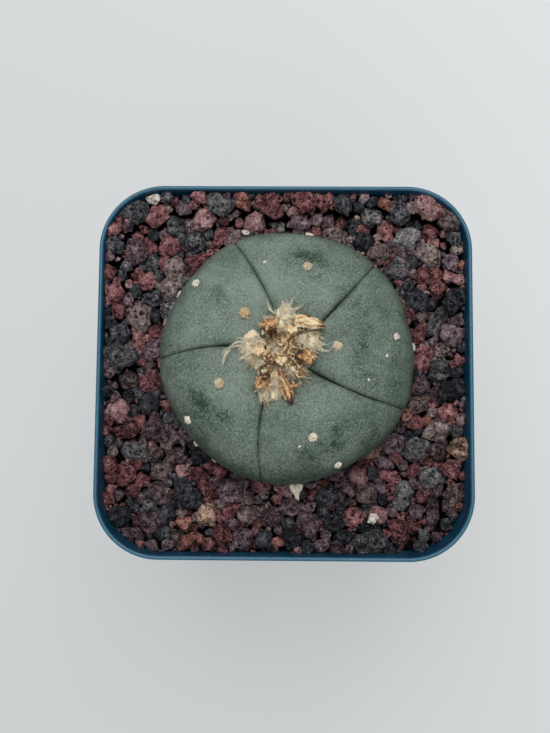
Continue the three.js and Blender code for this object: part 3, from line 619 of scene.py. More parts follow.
def rounded_square(half, corner, z, steps=24):
    """A square with rounded corners as a ring of points, counter-clockwise."""
    starts = (0, 90, 180, 270)
    angles = np.radians(np.concatenate([np.linspace(start, start + 90, steps + 1) for start in starts]))
    signs = np.repeat([(1, 1), (-1, 1), (-1, -1), (1, -1)], steps + 1, axis=0)
    centre = half - corner
    return np.column_stack([
        signs[:, 0] * centre + corner * np.cos(angles),
        signs[:, 1] * centre + corner * np.sin(angles),
        np.full(len(angles), float(z))])


def outside_half(z):
    """Half the pot's outside width at a height."""
    inset = COLLAR_STEP if z < POT_HEIGHT - COLLAR_DEPTH else 0
    return FOOT_HALF + (RIM_HALF - FOOT_HALF) * z / POT_HEIGHT - inset


def corner_at(z):
    """The pot's outside corner radius at a height."""
    return FOOT_CORNER + (RIM_CORNER - FOOT_CORNER) * z / POT_HEIGHT


def wall_ring(z, inset, below=False):
    """The pot's outside at a height, drawn in by an inset, or in line with the wall below the collar."""
    half = outside_half(z) - inset - (COLLAR_STEP if below else 0)
    return rounded_square(half, corner_at(z) - inset, z)


def pot_rings():
    """The pot's skin from the middle of the foot, up the outside, over the rim and down the inside."""
    collar = POT_HEIGHT - COLLAR_DEPTH
    ring_inner = FOOT_HALF - FOOT_RING
    ring_corner = FOOT_CORNER - 3
    floor_top = FLOOR_RISE + FLOOR_THICK
    rings = [
        rounded_square(ring_inner - 1, ring_corner, FLOOR_RISE),
        rounded_square(ring_inner, ring_corner, 0),
    ]
    high, deep = FOOT_ROUNDING
    for turn in np.linspace(0, math.pi / 2, 6):
        rings.append(wall_ring(high * (1 - math.cos(turn)), deep * (1 - math.sin(turn))))

    # The collar's step: how far over its lower edge, and how far in.
    for over, inset in ((-0.25, 0), (-0.01, -0.03), (COLLAR_STEP * 0.8, 0.02), (COLLAR_STEP + 0.4, 0)):
        rings.append(wall_ring(collar + over, inset))
    for turn in np.linspace(0, math.pi, 13):
        height = POT_HEIGHT - RIM_ROUNDING * (1 - math.sin(turn))
        rings.append(wall_ring(height, WALL / 2 * (1 - math.cos(turn))))
    rings.append(wall_ring(collar + COLLAR_STEP + 0.3, WALL))
    rings.append(wall_ring(collar - 0.3, WALL))
    for turn in np.linspace(0, math.pi / 2, 6):
        rings.append(wall_ring(FOOT_RING_THICK + 1 - math.sin(turn), WALL + 1 - math.cos(turn)))
    rings.append(rounded_square(ring_inner, ring_corner, FOOT_RING_THICK))
    rings.append(rounded_square(ring_inner - 1, ring_corner, floor_top))
    return rings


def cutter(ring, low, high):
    """A flat ring drawn out from one height to another, closed at both. It cuts the pot and then goes."""
    sides = len(ring)
    points = [(x, y, z) for z in (low, high) for x, y in ring]
    faces = [[i, (i + 1) % sides, sides + (i + 1) % sides, sides + i] for i in range(sides)]
    faces += [list(range(sides))[::-1], list(range(sides, 2 * sides))]
    mesh = bpy.data.meshes.new("cutter")
    mesh.from_pydata((np.array(points) * MM).tolist(), [], faces)
    return placed("cutter", mesh)


def post(x, y, radius, sides=48):
    """A round post through the floor, from under the foot to well over it."""
    angles = np.linspace(0, 2 * math.pi, sides, endpoint=False)
    ring = np.column_stack([x + radius * np.cos(angles), y + radius * np.sin(angles)])
    return cutter(ring, -5, 8)


def bar(width, length):
    """A flat bar across the foot."""
    x, y = width / 2, length / 2
    return cutter([(-x, -y), (x, -y), (x, y), (-x, y)], -NOTCH_HEIGHT, NOTCH_HEIGHT)


def moulded_pot():
    """The pot: one moulding with a collar, a foot ring, air notches and drain holes."""
    rings = pot_rings()
    count = len(rings[0])
    points = np.concatenate(rings)
    faces = grid_faces(len(rings), count).tolist()
    faces.append(list(range(count))[::-1])
    faces.append(list(range(len(points) - count, len(points))))
    mesh = bpy.data.meshes.new("moulded_pot")
    mesh.from_pydata((points * MM).tolist(), [], faces)
    pot = placed("moulded_pot", mesh)
    across = 2 * FOOT_HALF + 10
    cutters = [bar(across, NOTCH_WIDTH), bar(NOTCH_WIDTH, across)]
    for i, j in ((0, 0), (1, 1), (-1, 1), (-1, -1), (1, -1)):
        cutters.append(post(i * HOLE_SPACING, j * HOLE_SPACING, HOLE_RADIUS))
    for tool in cutters:
        cut = pot.modifiers.new("cut", "BOOLEAN")
        cut.operation = "DIFFERENCE"
        cut.object = tool
    cut_mesh = bpy.data.meshes.new_from_object(pot.evaluated_get(bpy.context.evaluated_depsgraph_get()))
    pot.modifiers.clear()
    pot.data = cut_mesh
    for tool in cutters:
        bpy.data.objects.remove(tool)
    pot.data.shade_smooth()
    pot.data.set_sharp_from_angle(angle=math.radians(32))
    dressed(pot, moulded_polypropylene(), "pot_plastic", "pot")


# The stem

def furrow_azimuth(index, radius):
    """Where a furrow runs at a radius, in degrees. The numbers go on after a full turn."""
    azimuth, turn = FURROWS[index % len(FURROWS)]
    turns = index // len(FURROWS)
    return azimuth + turn * (np.maximum(radius, 3) - FURROW_MIDDLE_RADIUS) + 360 * turns


def to_furrow(rib, across, radius):
    """How far a place across a rib is from the nearer furrow, along the skin."""
    turn = np.radians(furrow_azimuth(rib + 1, radius) - furrow_azimuth(rib, radius))
    return min(across, 1 - across) * turn * radius


def rib_strength(along):
    """How marked the ribs are along the profile: not at all in the crown's middle, and fading below."""
    fading = 1 - 0.55 * smoothstep(along, 0.3, 0.7) - 0.45 * smoothstep(along, 0.7, 1)
    return smoothstep(along, 0.05, 0.24) * fading


def stem_points(rib, across, along):
    """Points on the stem, one for each place along the profile, at one place across a rib."""
    at = spline(STEM_PROFILE, along)
    tangent = spline(STEM_PROFILE, np.minimum(along + 1e-4, 1))
    tangent -= spline(STEM_PROFILE, np.maximum(along - 1e-4, 0))
    tangent /= np.linalg.norm(tangent, axis=1)[:, None]
    left, right = furrow_azimuth(rib, at[:, 0]), furrow_azimuth(rib + 1, at[:, 0])
    azimuth = np.radians(left + (right - left) * across)
    furrow = to_furrow(rib, across, at[:, 0])
    crease = FURROW_DEPTH * np.exp(-furrow / FURROW_WIDTH) + CREASE_DEPTH * np.exp(-furrow / CREASE_WIDTH)
    relief = -rib_strength(along) * (crease + RIB_RISE * abs(2 * across - 1) ** 2.5)
    widest = np.exp(-((along - SHOULDER) / 0.2) ** 2)
    pentagon = PENTAGON * (1 + math.cos(2 * math.pi * across)) * widest
    radius = np.maximum(at[:, 0] - tangent[:, 1] * relief + pentagon, 0)
    return np.column_stack([
        STEM_X + radius * np.cos(azimuth), STEM_Y + radius * np.sin(azimuth) + LEAN * widest,
        POT_HEIGHT + at[:, 1] + tangent[:, 0] * relief])


def along_at_radius(radius):
    """The place along the profile, over the shoulder, that has a radius."""
    places = np.linspace(0, SHOULDER, 400)
    return float(np.interp(radius, spline(STEM_PROFILE, places)[:, 0], places))


PROFILE_STEPS = np.diff(spline(STEM_PROFILE, np.linspace(0, 1, 200)), axis=0)
PROFILE_LENGTH = float(np.linalg.norm(PROFILE_STEPS, axis=1).sum())


def skin_at(azimuth, along):
    """A point on the stem's skin, with its outward normal."""
    radius = spline(STEM_PROFILE, along)[0, 0]
    rib = 0
    while furrow_azimuth(rib + 1, radius) < azimuth:
        rib += 1
    while furrow_azimuth(rib, radius) > azimuth:
        rib -= 1
    left = furrow_azimuth(rib, radius)
    across = (azimuth - left) / (furrow_azimuth(rib + 1, radius) - left)
    here = np.array([along - 0.01, along, along + 0.01])
    point = stem_points(rib, across, here)
    sideways = stem_points(rib, across + 0.01, here)[1] - stem_points(rib, across - 0.01, here)[1]
    normal = np.cross(point[2] - point[0], sideways)
    return point[1], normal / np.linalg.norm(normal)


def areole_place(areole):
    """A tuft's place on the skin, with the outward normal."""
    along = along_at_radius(areole["r"]) if "r" in areole else SHOULDER + areole["below"] / PROFILE_LENGTH
    return skin_at(areole["azimuth"], along)


def rubbed_bare(points):
    """How far the bloom is worn off the skin at each point, in ragged smudges."""
    worn = np.zeros(len(points))
    blurred = crumpled(points, 2, 1.1)
    for x, y, length, width, turn, bare in SMUDGES:
        across = turned(blurred - [STEM_X + x, STEM_Y + y, 0], -math.radians(turn))
        away = (across[:, 0] / length) ** 2 + (across[:, 1] / width) ** 2
        worn = np.maximum(worn, bare * np.exp(-away) * (0.8 + 0.5 * rough(points, 1.1, 2)))
    return worn


def bloom_and_painted_light(points):
    """How thick the bloom is at each point: thickest on top, and thin on the flank, partly as painted shade,
    and in the crown.
    """
    height = points[:, 2] - POT_HEIGHT
    from_axis = np.hypot(points[:, 0] - STEM_X, points[:, 1] - STEM_Y)
    bloom = 0.12 + 0.3 * smoothstep(height, 0, 10) - 0.12 * smoothstep(from_axis, 11, 4)
    # Painted light: paler towards the back and the left.
    bloom += 0.006 * points[:, 1] - 0.003 * points[:, 0]
    for x, y, reach in BLOOM_PATCHES:
        away = (points[:, 0] - STEM_X - x) ** 2 + (points[:, 1] - STEM_Y - y) ** 2
        bloom += 0.17 * np.exp(-away / reach ** 2)
    return np.clip(bloom, 0, 1)


def waxy_stem():
    """The ribbed globe with its taproot, grown as one, with its creases and soft swellings."""
    rows, columns = 150, 56
    along = np.linspace(1 / rows, 1, rows)
    strips, creases = [], []
    for rib in range(len(FURROWS)):
        for column in range(columns):
            across = 0.5 - 0.5 * math.cos(math.pi * column / columns)
            strips.append(stem_points(rib, across, along))
            # How near each point lies to a crease, for the crease's painted shade.
            furrow = to_furrow(rib, across, spline(STEM_PROFILE, along)[:, 0])
            creases.append(np.maximum(rib_strength(along), 0) ** 2.2 * np.exp(-furrow / CREASE_WIDTH))
    net = np.stack(strips, axis=1)
    creased = np.stack(creases, axis=1).ravel()

    # Outward normals of the net, to swell it along. Each tuft sits in a dent on a soft rise.
    down = np.gradient(net, axis=0)
    sideways = np.roll(net, -1, axis=1) - np.roll(net, 1, axis=1)
    outward = np.cross(down, sideways)
    outward /= np.linalg.norm(outward, axis=2)[..., None] + 1e-9
    flat = net.reshape(-1, 3)
    swell = 0.16 * rough(flat, 9, 2) + 0.035 * rough(flat, 1.6, 3)
    for areole in AREOLES:
        point, _ = areole_place(areole)
        apart = np.linalg.norm(flat - point, axis=1)
        swell += 0.22 * np.exp(-(apart / 3.4) ** 2) - 0.3 * np.exp(-(apart / 1.3) ** 2)
    worn = rubbed_bare(flat)
    flat = flat + swell[:, None] * outward.reshape(-1, 3)
    # In each crease the bloom is lowered to near black: painted shade.
    bloom = bloom_and_painted_light(flat) - 1.2 * creased

    # The taproot narrows from the lowest ring to its tip.
    net = flat.reshape(net.shape)
    axis = np.array([STEM_X, STEM_Y, 0])
    root = []
    for radius, z in spline(ROOT_PROFILE, np.linspace(0, 1, 14)[1:]):
        share = max(radius, 0.05) / ROOT_PROFILE[0][0]
        ring = axis + (net[-1] - axis) * share
        ring[:, 2] = POT_HEIGHT + z
        root.append(ring)
    around = net.shape[1]
    points = np.concatenate([[net[0].mean(axis=0)], flat, np.concatenate(root), [root[-1].mean(axis=0)]])
    buried = np.zeros(len(root) * around + 1)
    last_ring = 1 + (rows + len(root) - 1) * around
    heap = Heap()
    heap.add(points, grid_faces(rows + len(root), around)[:, ::-1] + 1,
             np.concatenate([[bloom[0]], bloom, buried]), np.concatenate([[0], worn, buried]))
    heap.faces.extend([fan(around, 1, 0), fan(around, last_ring, len(points) - 1, over=True)])
    heap.piece("waxy_stem", waxy_skin(), "cactus_skin", "cactus")


# Hairs

def hairs(heap, roots, bends, tips, width, shade, steps):
    """Fine tapering three-sided hairs, each a curve from its root past its bend to its tip."""
    count = len(roots)
    t = np.linspace(0, 1, steps + 1)[None, :, None]
    line = (1 - t) ** 2 * roots[:, None] + 2 * t * (1 - t) * bends[:, None] + t ** 2 * tips[:, None]
    way = tips - roots
    way /= np.linalg.norm(way, axis=1)[:, None] + 1e-9
    upright = np.where(np.abs(way[:, 2:3]) > 0.9, [[1.0, 0, 0]], [[0, 0, 1.0]])
    side = np.cross(way, upright)
    side /= np.linalg.norm(side, axis=1)[:, None] + 1e-9
    other = np.cross(way, side)
    reach = 0.5 * width * (1 - 0.8 * t[:, :, 0])
    around = []
    for angle in (0, 2 * math.pi / 3, 4 * math.pi / 3):
        spoke = math.cos(angle) * side + math.sin(angle) * other
        around.append(line + reach[..., None] * spoke[:, None])
    points = np.stack(around, axis=2).reshape(-1, 3)
    one = grid_faces(steps + 1, 3)
    faces = (one[None] + (np.arange(count) * (steps + 1) * 3)[:, None, None]).reshape(-1, 4)
    heap.add(points, faces, np.repeat(np.broadcast_to(shade, count), (steps + 1) * 3))


def lock(heap, random, foot, toward, shade, spread, length, count, width, floor=None, steps=4):
    """A lock of hairs from one place, that lie alike but stray. None goes under the floor."""
    toward = toward / np.linalg.norm(toward)
    roots = foot + spread * random.normal(0, 0.5, (count, 3))
    reach = length * random.uniform(0.55, 1.1, (count, 1))
    tips = foot + toward * reach + spread * random.normal(0, 0.45, (count, 3))
    aside = np.array([-toward[1], toward[0], 0]) * length * random.normal(0, 0.32)
    bends = (roots + tips) / 2 + aside + 0.1 * length * random.normal(0, 1, (count, 3))
    bends[:, 2] += 0.12 * length
    if floor is not None:
        for part in (bends, tips):
            part[:, 2] = np.maximum(part[:, 2], floor(part[:, 0], part[:, 1]) + 0.12)
    hairs(heap, roots, bends, tips, width, np.clip(shade + random.normal(0, 0.15, count), 0, 1), steps)


def areole_tufts():
    """The woolly buttons on the ribs: a lumpy felt pad each, with short hairs all over it."""
    random = np.random.default_rng(31)
    heap = Heap()
    sphere, faces = ball(4)
    for areole in AREOLES:
        point, normal = areole_place(areole)
        width = areole["width"]
        basis = np.array(Vector(normal).to_track_quat("Z", "X").to_matrix())
        tall = areole.get("tall", 0)
        ragged = 1 + 0.5 * rough(sphere * 1.3 + point, 0.45, 4)
        pad = sphere * ragged[:, None] * [width * 0.42, width * 0.42, width * 0.24 + tall * 0.45]
        dimple = 0.5 * areole["fresh"] * np.exp(-(np.hypot(pad[:, 0], pad[:, 1]) / (0.16 * width)) ** 2)
        if tall:
            pad[:, :2] *= 1.1 - 0.75 * smoothstep(sphere[:, 2], -0.5, 0.7)[:, None]
            pad[:, 2] += tall * 0.45
        heap.add(pad @ basis.T + point + normal * 0.08 * width, faces, areole["fresh"] - dimple)
        for _ in range(20):
            angle = random.uniform(0, 2 * math.pi)
            out = random.uniform(0.12, 0.4) * width
            foot = basis @ (heading(angle) * out + [0, 0, 0.22 * width]) + point
            lock(heap, random, foot, basis @ heading(angle, 0.7 + tall), areole["fresh"] + 0.15,
                 spread=0.13, length=0.2 * (width + tall), count=6, width=0.06, steps=3)
    for radius, azimuth, width in SPECKS:
        point, normal = skin_at(azimuth, along_at_radius(radius))
        crumb = sphere * (1 + 0.5 * rough(sphere + point, 0.8, 3))[:, None] * width * 0.42
        heap.add(crumb * [1, 1, 0.5] + point, faces, 0.75)
    heap.piece("areole_tufts", plant_wool("areole_wool", 0xB09256, 0xECE6D8), "wool", "cactus")


# The crown

def crown_height(x, y):
    """The skin's height in the crown, from the profile alone."""
    places = np.linspace(0, SHOULDER, 400)
    curve = spline(STEM_PROFILE, places)
    return POT_HEIGHT + np.interp(np.hypot(x, y), curve[:, 0], curve[:, 1])


def skin_height(x, y):
    """The same, at a place in the object's own frame."""
    return crown_height(x - STEM_X, y - STEM_Y)


def crown_felt():
    """The matted core of the wool: lumpy lobes with crumbs and fibres in them."""
    heap = Heap()
    sphere, faces = ball(5)
    for i, lobe in enumerate(WOOL_LOBES):
        lump = sphere * lobe["size"]
        lump = lump * (1 + 0.2 * rough(lump + i * 9, 1.5, 4))[:, None]
        lump = turned(lump, math.radians(lobe["turn"]))
        x, y = lobe["at"]
        place = lump + [STEM_X + x, STEM_Y + y, crown_height(x, y) + 0.45]
        place[:, 2] += 0.5 * rough(place, 0.9, 4) - 0.25
        heap.add(place, faces, lobe["fresh"] + 0.05 + 0.4 * rough(place, 0.5, 4))
    heap.piece("crown_felt", plant_wool("crown_felt_wool", 0x62492E, 0xEDDDBC), "wool", "crown_wool")


def crown_hairs():
    """The loose hairs of the wool: locks that are combed the way of each lobe, and the strands."""
    random = np.random.default_rng(12)
    heap = Heap()
    for lobe in WOOL_LOBES:
        middle_x, middle_y = lobe["at"]
        half_x, half_y, rise = lobe["size"]
        combed = "comb" in lobe
        for _ in range(88 if combed else 70):
            angle = random.uniform(0, 2 * math.pi)
            reach = math.sqrt(random.uniform(0.01, 0.95))
            x = middle_x + reach * half_x * math.cos(angle)
            y = middle_y + reach * half_y * math.sin(angle)
            z = crown_height(middle_x, middle_y) + 0.35 + rise * math.sqrt(max(0, 1 - reach * reach))
            foot = np.array([STEM_X + x, STEM_Y + y, z])
            outward = math.atan2(y - middle_y, x - middle_x)
            if combed:
                out = math.radians(lobe["comb"]) + random.normal(0, 0.5)
            else:
                out = random.uniform(0, 2 * math.pi)
            way = heading(out, random.uniform(-0.3, 0.2)) + 0.2 * heading(outward)
            length = 1.5 + 2.4 * random.uniform(0, 1) ** 2 if combed else random.uniform(0.8, 1.8)
            length *= 1 - 0.5 * reach
            shade = lobe["fresh"] + random.normal(0.06, 0.42)
            lock(heap, random, foot, way, shade,
                 spread=0.2, length=length, count=8, width=0.085, floor=skin_height)
    for x, y, azimuth, length in STRANDS:
        foot = np.array([STEM_X + x, STEM_Y + y, crown_height(x, y) + 0.9])
        lock(heap, random, foot, heading(math.radians(azimuth), 0.02), 0.95,
             spread=0.26, length=length, count=22, width=0.06, floor=skin_height)
    heap.piece("crown_hairs", plant_wool("crown_hair_wool", 0x94703F, 0xFFF7DE), "wool", "crown_wool")


def flower_shell(flower):
    """The fine form of one dried flower: a shrunken, folded tube with a frayed rim and a crumpled end."""
    random = seeded(round(100 * (flower["azimuth"] + flower["length"])))
    bend = 0.5 * (random() - 0.5)
    folds = np.array([random() for _ in range(FLOWER_SIDES)])

    # Round the tube, each point lies part of the way from one fold to the next.
    count = FLOWER_SIDES * SIDE_POINTS
    place = np.arange(count) / SIDE_POINTS
    low = place.astype(int)
    part = place - low
    high = (low + 1) % FLOWER_SIDES
    fold = folds[low] * (1 - part) + folds[high] * part
    ridge = (1 - low % 2) * (1 - part) + (1 - high % 2) * part
    pinch = 1 - FOLD_DEPTH * (1 - ridge) - 0.12 * fold
    angle = 2 * math.pi * place / FLOWER_SIDES

    # Up the outside to the rim, then over a cap or down into the mouth, as place along and share of
    # the width.
    capped = flower.get("cap", False)
    steps = [(t, 0.72 + 0.28 * min(1, 6 * t)) for t in np.linspace(0, 1, 44)]
    if capped:
        steps += [(1 + 0.13 * math.sin(turn), math.cos(turn)) for turn in np.linspace(0.25, 1.5, 9)]
    else:
        steps += [
            (1.0, 0.86), (0.97, 0.78), (0.92, 0.72), (0.87, 0.6), (0.86, 0.4), (0.88, 0.2), (0.88, 0.03)]
    fray = FRAY * flower["width"] * (fold - 0.4) * (0.4 if capped else 1)
    layers, tones = [], []
    for t, share in steps:
        swelling = flower["belly"] * math.sin(math.pi * t ** 1.5)
        waist = 0.5 * flower["width"] * (flower["foot"] * (1 - t) + flower["tip"] * t + swelling)
        layers.append(np.column_stack([
            waist * pinch * share * np.cos(angle + 0.5 * t) + bend * flower["length"] * t * t,
            waist * pinch * share * np.sin(angle + 0.5 * t),
            flower["length"] * t + fray * smoothstep(t, 0.6, 1) * share]))
        # The tone: paler on the ridges as painted highlights and darker in the folds as painted shade, and a
        # little darker towards the foot. An open end darkens to a dark tip, with painted shade inside the
        # mouth; a capped one is darker low on the tube and painted paler on its cap, as lit from above.
        if capped:
            end = 0.32 * (1 - smoothstep(t, 0.4, 1)) - 0.12 * smoothstep(t, 0.9, 1.05)
        else:
            end = smoothstep(t, 0.75, 1)
        tones.append(flower["dark"] + 0.55 * end - 0.35 * (ridge - 0.5) + 0.15 * (1 - t))
    points = np.concatenate(layers)
    points[:, :2] *= 1 + FIBRE_RELIEF * rough(points * [1, 1, 0.2], 0.4, 3)[:, None]
    points = crumpled(crumpled(points, 1.1, 0.27), 0.4, 0.12)

    # From upright to the way that it points, with its foot in the wool.
    rise = math.radians(flower["rise"])
    along = Vector(heading(math.radians(flower["azimuth"])) * math.cos(rise) + [0, 0, math.sin(rise)])
    turn = np.array(Vector((0, 0, 1)).rotation_difference(along).to_matrix())
    x, y = flower["at"]
    lift = 0.4 * flower["width"] * math.cos(rise)
    foot = np.array([STEM_X + x, STEM_Y + y, crown_height(x, y) + SEAT_DEPTH + lift])
    return points @ turn.T + foot, grid_faces(len(layers), count), np.concatenate(tones)


def flower_scraps():
    """Torn scraps of dried petals, curled and lying every way in the wool, and crumbs of them."""
    random = np.random.default_rng(19)
    heap = Heap()
    disc, faces = ball(3)
    for x, y, spread, count, dark in SCRAPS:
        for number in range(count):
            angle = random.uniform(0, 2 * math.pi)
            out = spread * math.sqrt(random.uniform(0, 1))
            px, py = x + out * math.cos(angle), y + out * math.sin(angle)
            crumb = number % 3 == 0
            long, wide = random.uniform(0.5, 1.3), random.uniform(0.14, 0.4)
            size = random.uniform(0.1, 0.2, 3) if crumb else np.array([long, wide, SCRAP_THICKNESS])
            torn = 1 + 0.6 * rough(disc + random.uniform(0, 90, 3), 0.6, 3)
            flake = disc * torn[:, None] * size
            curl = random.uniform(0.3, 1.2) * flake[:, 0] ** 2 + random.uniform(-1.6, 1.6) * flake[:, 1] ** 2
            flake[:, 2] += curl + 0.16 * rough(flake + random.uniform(0, 90, 3), 0.4, 2)
            turn = Matrix.Rotation(random.uniform(0, 6.28), 3, "Z")
            for axis in "YX":
                turn = turn @ Matrix.Rotation(random.normal(0, 0.8), 3, axis)
            height = crown_height(px, py) + (random.uniform(1.7, 3) if spread < 5 else 1.9)
            heap.add(flake @ np.array(turn).T + [STEM_X + px, STEM_Y + py, height], faces,
                     np.clip(dark + random.normal(0, 0.25), 0, 1))
    heap.piece("flower_scraps", dried_petal(), "dried_petal", "crown_wool")


def dried_flowers():
    """Each dried flower is a piece of its own."""
    finish = dried_petal()
    for number, flower in enumerate(DRIED_FLOWERS, 1):
        heap = Heap()
        points, faces, tones = flower_shell(flower)
        heap.add(points, faces, np.clip(tones, 0, 1))
        heap.piece(f"dried_petals_{number}", finish, "dried_petal", f"dried_flower_{number}")


# The gravel

def inset_from_wall(x, y, z):
    """How far inside the pot's inner wall a point is, at a height."""
    half, corner = outside_half(z) - WALL, corner_at(z) - WALL
    dx, dy = abs(x) - (half - corner), abs(y) - (half - corner)
    return corner - math.hypot(max(dx, 0), max(dy, 0)) - min(max(dx, dy), 0)


def gravel_top(x, y):
    """Height of the stones' tops: they lie lower at the front, and climb against the walls."""
    inner = RIM_HALF - WALL
    sink = CORNER_SINK * max(0, -y / inner) * (x / inner) ** 2
    bank = BANK * (1 - smoothstep(inset_from_wall(x, y, POT_HEIGHT), 1, BANK_WIDTH))
    return POT_HEIGHT - (GRAVEL_DEPTH + GRAVEL_SLOPE_X * x + GRAVEL_SLOPE_Y * y + sink) + bank


def distances(stones, x, y):
    """How far a point is from the line along the middle of each stone."""
    places, half, turn = stones[:, :2], (stones[:, 2] - stones[:, 3]) / 2, stones[:, 4]
    dx, dy = x - places[:, 0], y - places[:, 1]
    along = dx * np.cos(turn) + dy * np.sin(turn)
    aside = dy * np.cos(turn) - dx * np.sin(turn)
    return np.hypot(np.maximum(np.abs(along) - half, 0), aside)


def stone_places():
    """The stones' places: the large ones, the solids' other ones, then the grit between them."""
    random = seeded(GRAVEL_SEED)
    stones = np.array([stone[:5] for stone in LARGE_STONES], float)
    stones[:, 4] = np.radians(stones[:, 4])
    sizes = [(s, n, PACKING) for s, n in zip(FILL_SIZES, TRIES_PER_SIZE)]
    sizes += [(s, n, GRIT_PACKING) for s, n in zip(GRIT_SIZES, GRIT_TRIES)]
    solid_count = 0
    for size, tries, packing in sizes:
        for _ in range(tries):
            x, y = RIM_HALF * (2 * random() - 1), RIM_HALF * (2 * random() - 1)
            width = size * (0.9 + 0.2 * random())
            stretch = 1 + 0.4 * random()
            turn = 2 * math.pi * random()
            room = FROM_WALL * width + (GAP if size in FILL_SIZES else -GRIT_PRESS)
            if inset_from_wall(x, y, gravel_top(x, y)) < room:
                continue
            if math.hypot(x - STEM_X, y - STEM_Y) < STEM_RADIUS_AT_GRAVEL + 0.25 * width:
                continue
            if (distances(stones, x, y) > packing * (width + stones[:, 3])).all():
                stones = np.vstack([stones, [x, y, width * stretch, width, turn]])
        if size == FILL_SIZES[-1]:
            solid_count = len(stones)
    return stones, solid_count


def hull_planes(points):
    """The outward normals and distances from the middle of the faces of a hull."""
    mesh = bmesh.new()
    for p in points:
        mesh.verts.new(p)
    hull = bmesh.ops.convex_hull(mesh, input=mesh.verts)
    faces = [f for f in hull["geom"] if isinstance(f, bmesh.types.BMFace)]
    normals = np.array([f.normal[:] for f in faces])
    reach = np.array([f.normal.dot(f.verts[0].co) for f in faces])
    mesh.free()
    normals[reach < 0] *= -1
    return normals, np.maximum(np.abs(reach), 0.2)


def stone_corners(length, width, random):
    """The corners of one stone's hull, scattered over a squashed ball."""
    count = 16 if width > 4.5 else 11
    corners = []
    for i in range(count):
        z = 1 - 2 * (i + 0.5) / count
        angle = i * 2.39996 + 0.9 * random()
        level = math.sqrt(1 - z * z)
        reach = 0.46 + 0.12 * random()
        corners.append((reach * length * level * math.cos(angle), reach * width * level * math.sin(angle),
                        reach * width * FLATNESS * z))
    return corners


def scoria_lump(corners, width, sphere, seed):
    """The fine form of a stone: its hull with worn edges, and more or less knobs, hollows and open pores."""
    normals, reach = hull_planes(corners)
    facing = np.maximum(sphere @ normals.T, 1e-6) / reach
    radius = (facing ** 50).sum(axis=1) ** (-1 / 50)
    lump = sphere * radius[:, None] * STONE_SWELL
    shifted = lump + [seed * 3.7, seed * 1.9, seed * 5.1]
    knobby = 0.5 + 0.9 * (seed * 0.618 % 1)
    chunks = 0.09 * knobby * width * rough(shifted, 0.45 * width, 2)
    crumbs = 0.17 * knobby * np.abs(rough(shifted + 50, 1.1, 3)) + 0.07 * rough(shifted, 0.4, 2)
    deep = pits(shifted, 1.2, 0.13)
    lump = lump + sphere * (chunks + crumbs - 0.1 - 0.34 * deep)[:, None]
    return lump, deep


def tilted(points, tilt_x, tilt_y, turn):
    """The points turned about Z, then Y, then X, as the solids' stones are."""
    matrix = Matrix.Rotation(tilt_x, 3, "X") @ Matrix.Rotation(tilt_y, 3, "Y") @ Matrix.Rotation(turn, 3, "Z")
    return points @ np.array(matrix).T


def held_in(points):
    """The points, with those past the pot's inner wall pushed back onto it."""
    half = np.interp(points[:, 2], [0, POT_HEIGHT], [FOOT_HALF, RIM_HALF]) - WALL - OFF_WALL
    corner = np.interp(points[:, 2], [0, POT_HEIGHT], [FOOT_CORNER, RIM_CORNER]) - WALL
    dx, dy = np.abs(points[:, 0]) - (half - corner), np.abs(points[:, 1]) - (half - corner)
    out = np.hypot(np.maximum(dx, 0), np.maximum(dy, 0)) + np.minimum(np.maximum(dx, dy), 0) - corner
    share = np.where(out > 0, (half - out) / half, 1)
    return points * np.column_stack([share, share, np.ones(len(points))])


def lava_gravel():
    """All the stones, one piece for each kind of lava."""
    stones, solid_count = stone_places()
    random = seeded(GRAVEL_SEED + 1)
    shares = [share for share, *_ in LAVAS.values()]
    choice = np.random.default_rng(5).choice(
        list(LAVAS), size=len(stones), p=np.array(shares) / sum(shares))
    # Each stone has a random tone, paler towards the back: painted light.
    shades = np.random.default_rng(6).uniform(0.1, 0.9, len(stones)) + 0.006 * stones[:, 1]
    spheres = {level: ball(level) for level in (2, 3, 4, 5)}
    heaps = {kind: Heap() for kind in LAVAS}
    for number, (x, y, length, width, turn) in enumerate(stones):
        half = width * FLATNESS / 2
        z = gravel_top(x, y) - BED_BELOW_TOPS + (0.5 + 0.3 * random()) * half
        corners = stone_corners(length, width, random)
        tilt_x, tilt_y = 0.4 * (random() - 0.5), 0.4 * (random() - 0.5)
        large = number < len(LARGE_STONES)
        grit = number >= solid_count
        level = 5 if large else 4 if not grit or width > 3.2 else 3 if width > 1.6 else 2
        sphere, faces = spheres[level]
        lump, deep = scoria_lump(corners, width, sphere, number)
        if grit:
            z += GRIT_RISE
        beside_wall = 1 - smoothstep(inset_from_wall(x, y, z), 2, 5)
        lump = tilted(lump, tilt_x, tilt_y, turn)
        z = min(z + WALL_LIFT * beside_wall, POT_HEIGHT - UNDER_RIM - lump[:, 2].max())
        lean = 1 + WALL_LEAN * beside_wall / RIM_HALF
        place = held_in(lump + [x * lean, y * lean, z])
        kind = LARGE_STONES[number][5] if large else str(choice[number])
        # Each stone's pits carry their depth, which its finish paints as shade.
        heaps[kind].add(place, faces, shades[number], 0.8 * deep)
    for number, (x, y, width) in enumerate(PALE_BITS):
        sphere, faces = spheres[4]
        bit, deep = scoria_lump(stone_corners(1.2 * width, width, random), width, sphere, 900 + number)
        # Their pits, too, are painted as shade.
        heaps["pale"].add(bit + [x, y, gravel_top(x, y) + 0.3 * width], faces, 0.9, 0.5 * deep)
    for kind, heap in heaps.items():
        _, *tones = LAVAS[kind]
        heap.piece(f"{kind}_lava_stones", scoria(f"{kind}_scoria", *tones), "lava_stone", "lava_gravel")


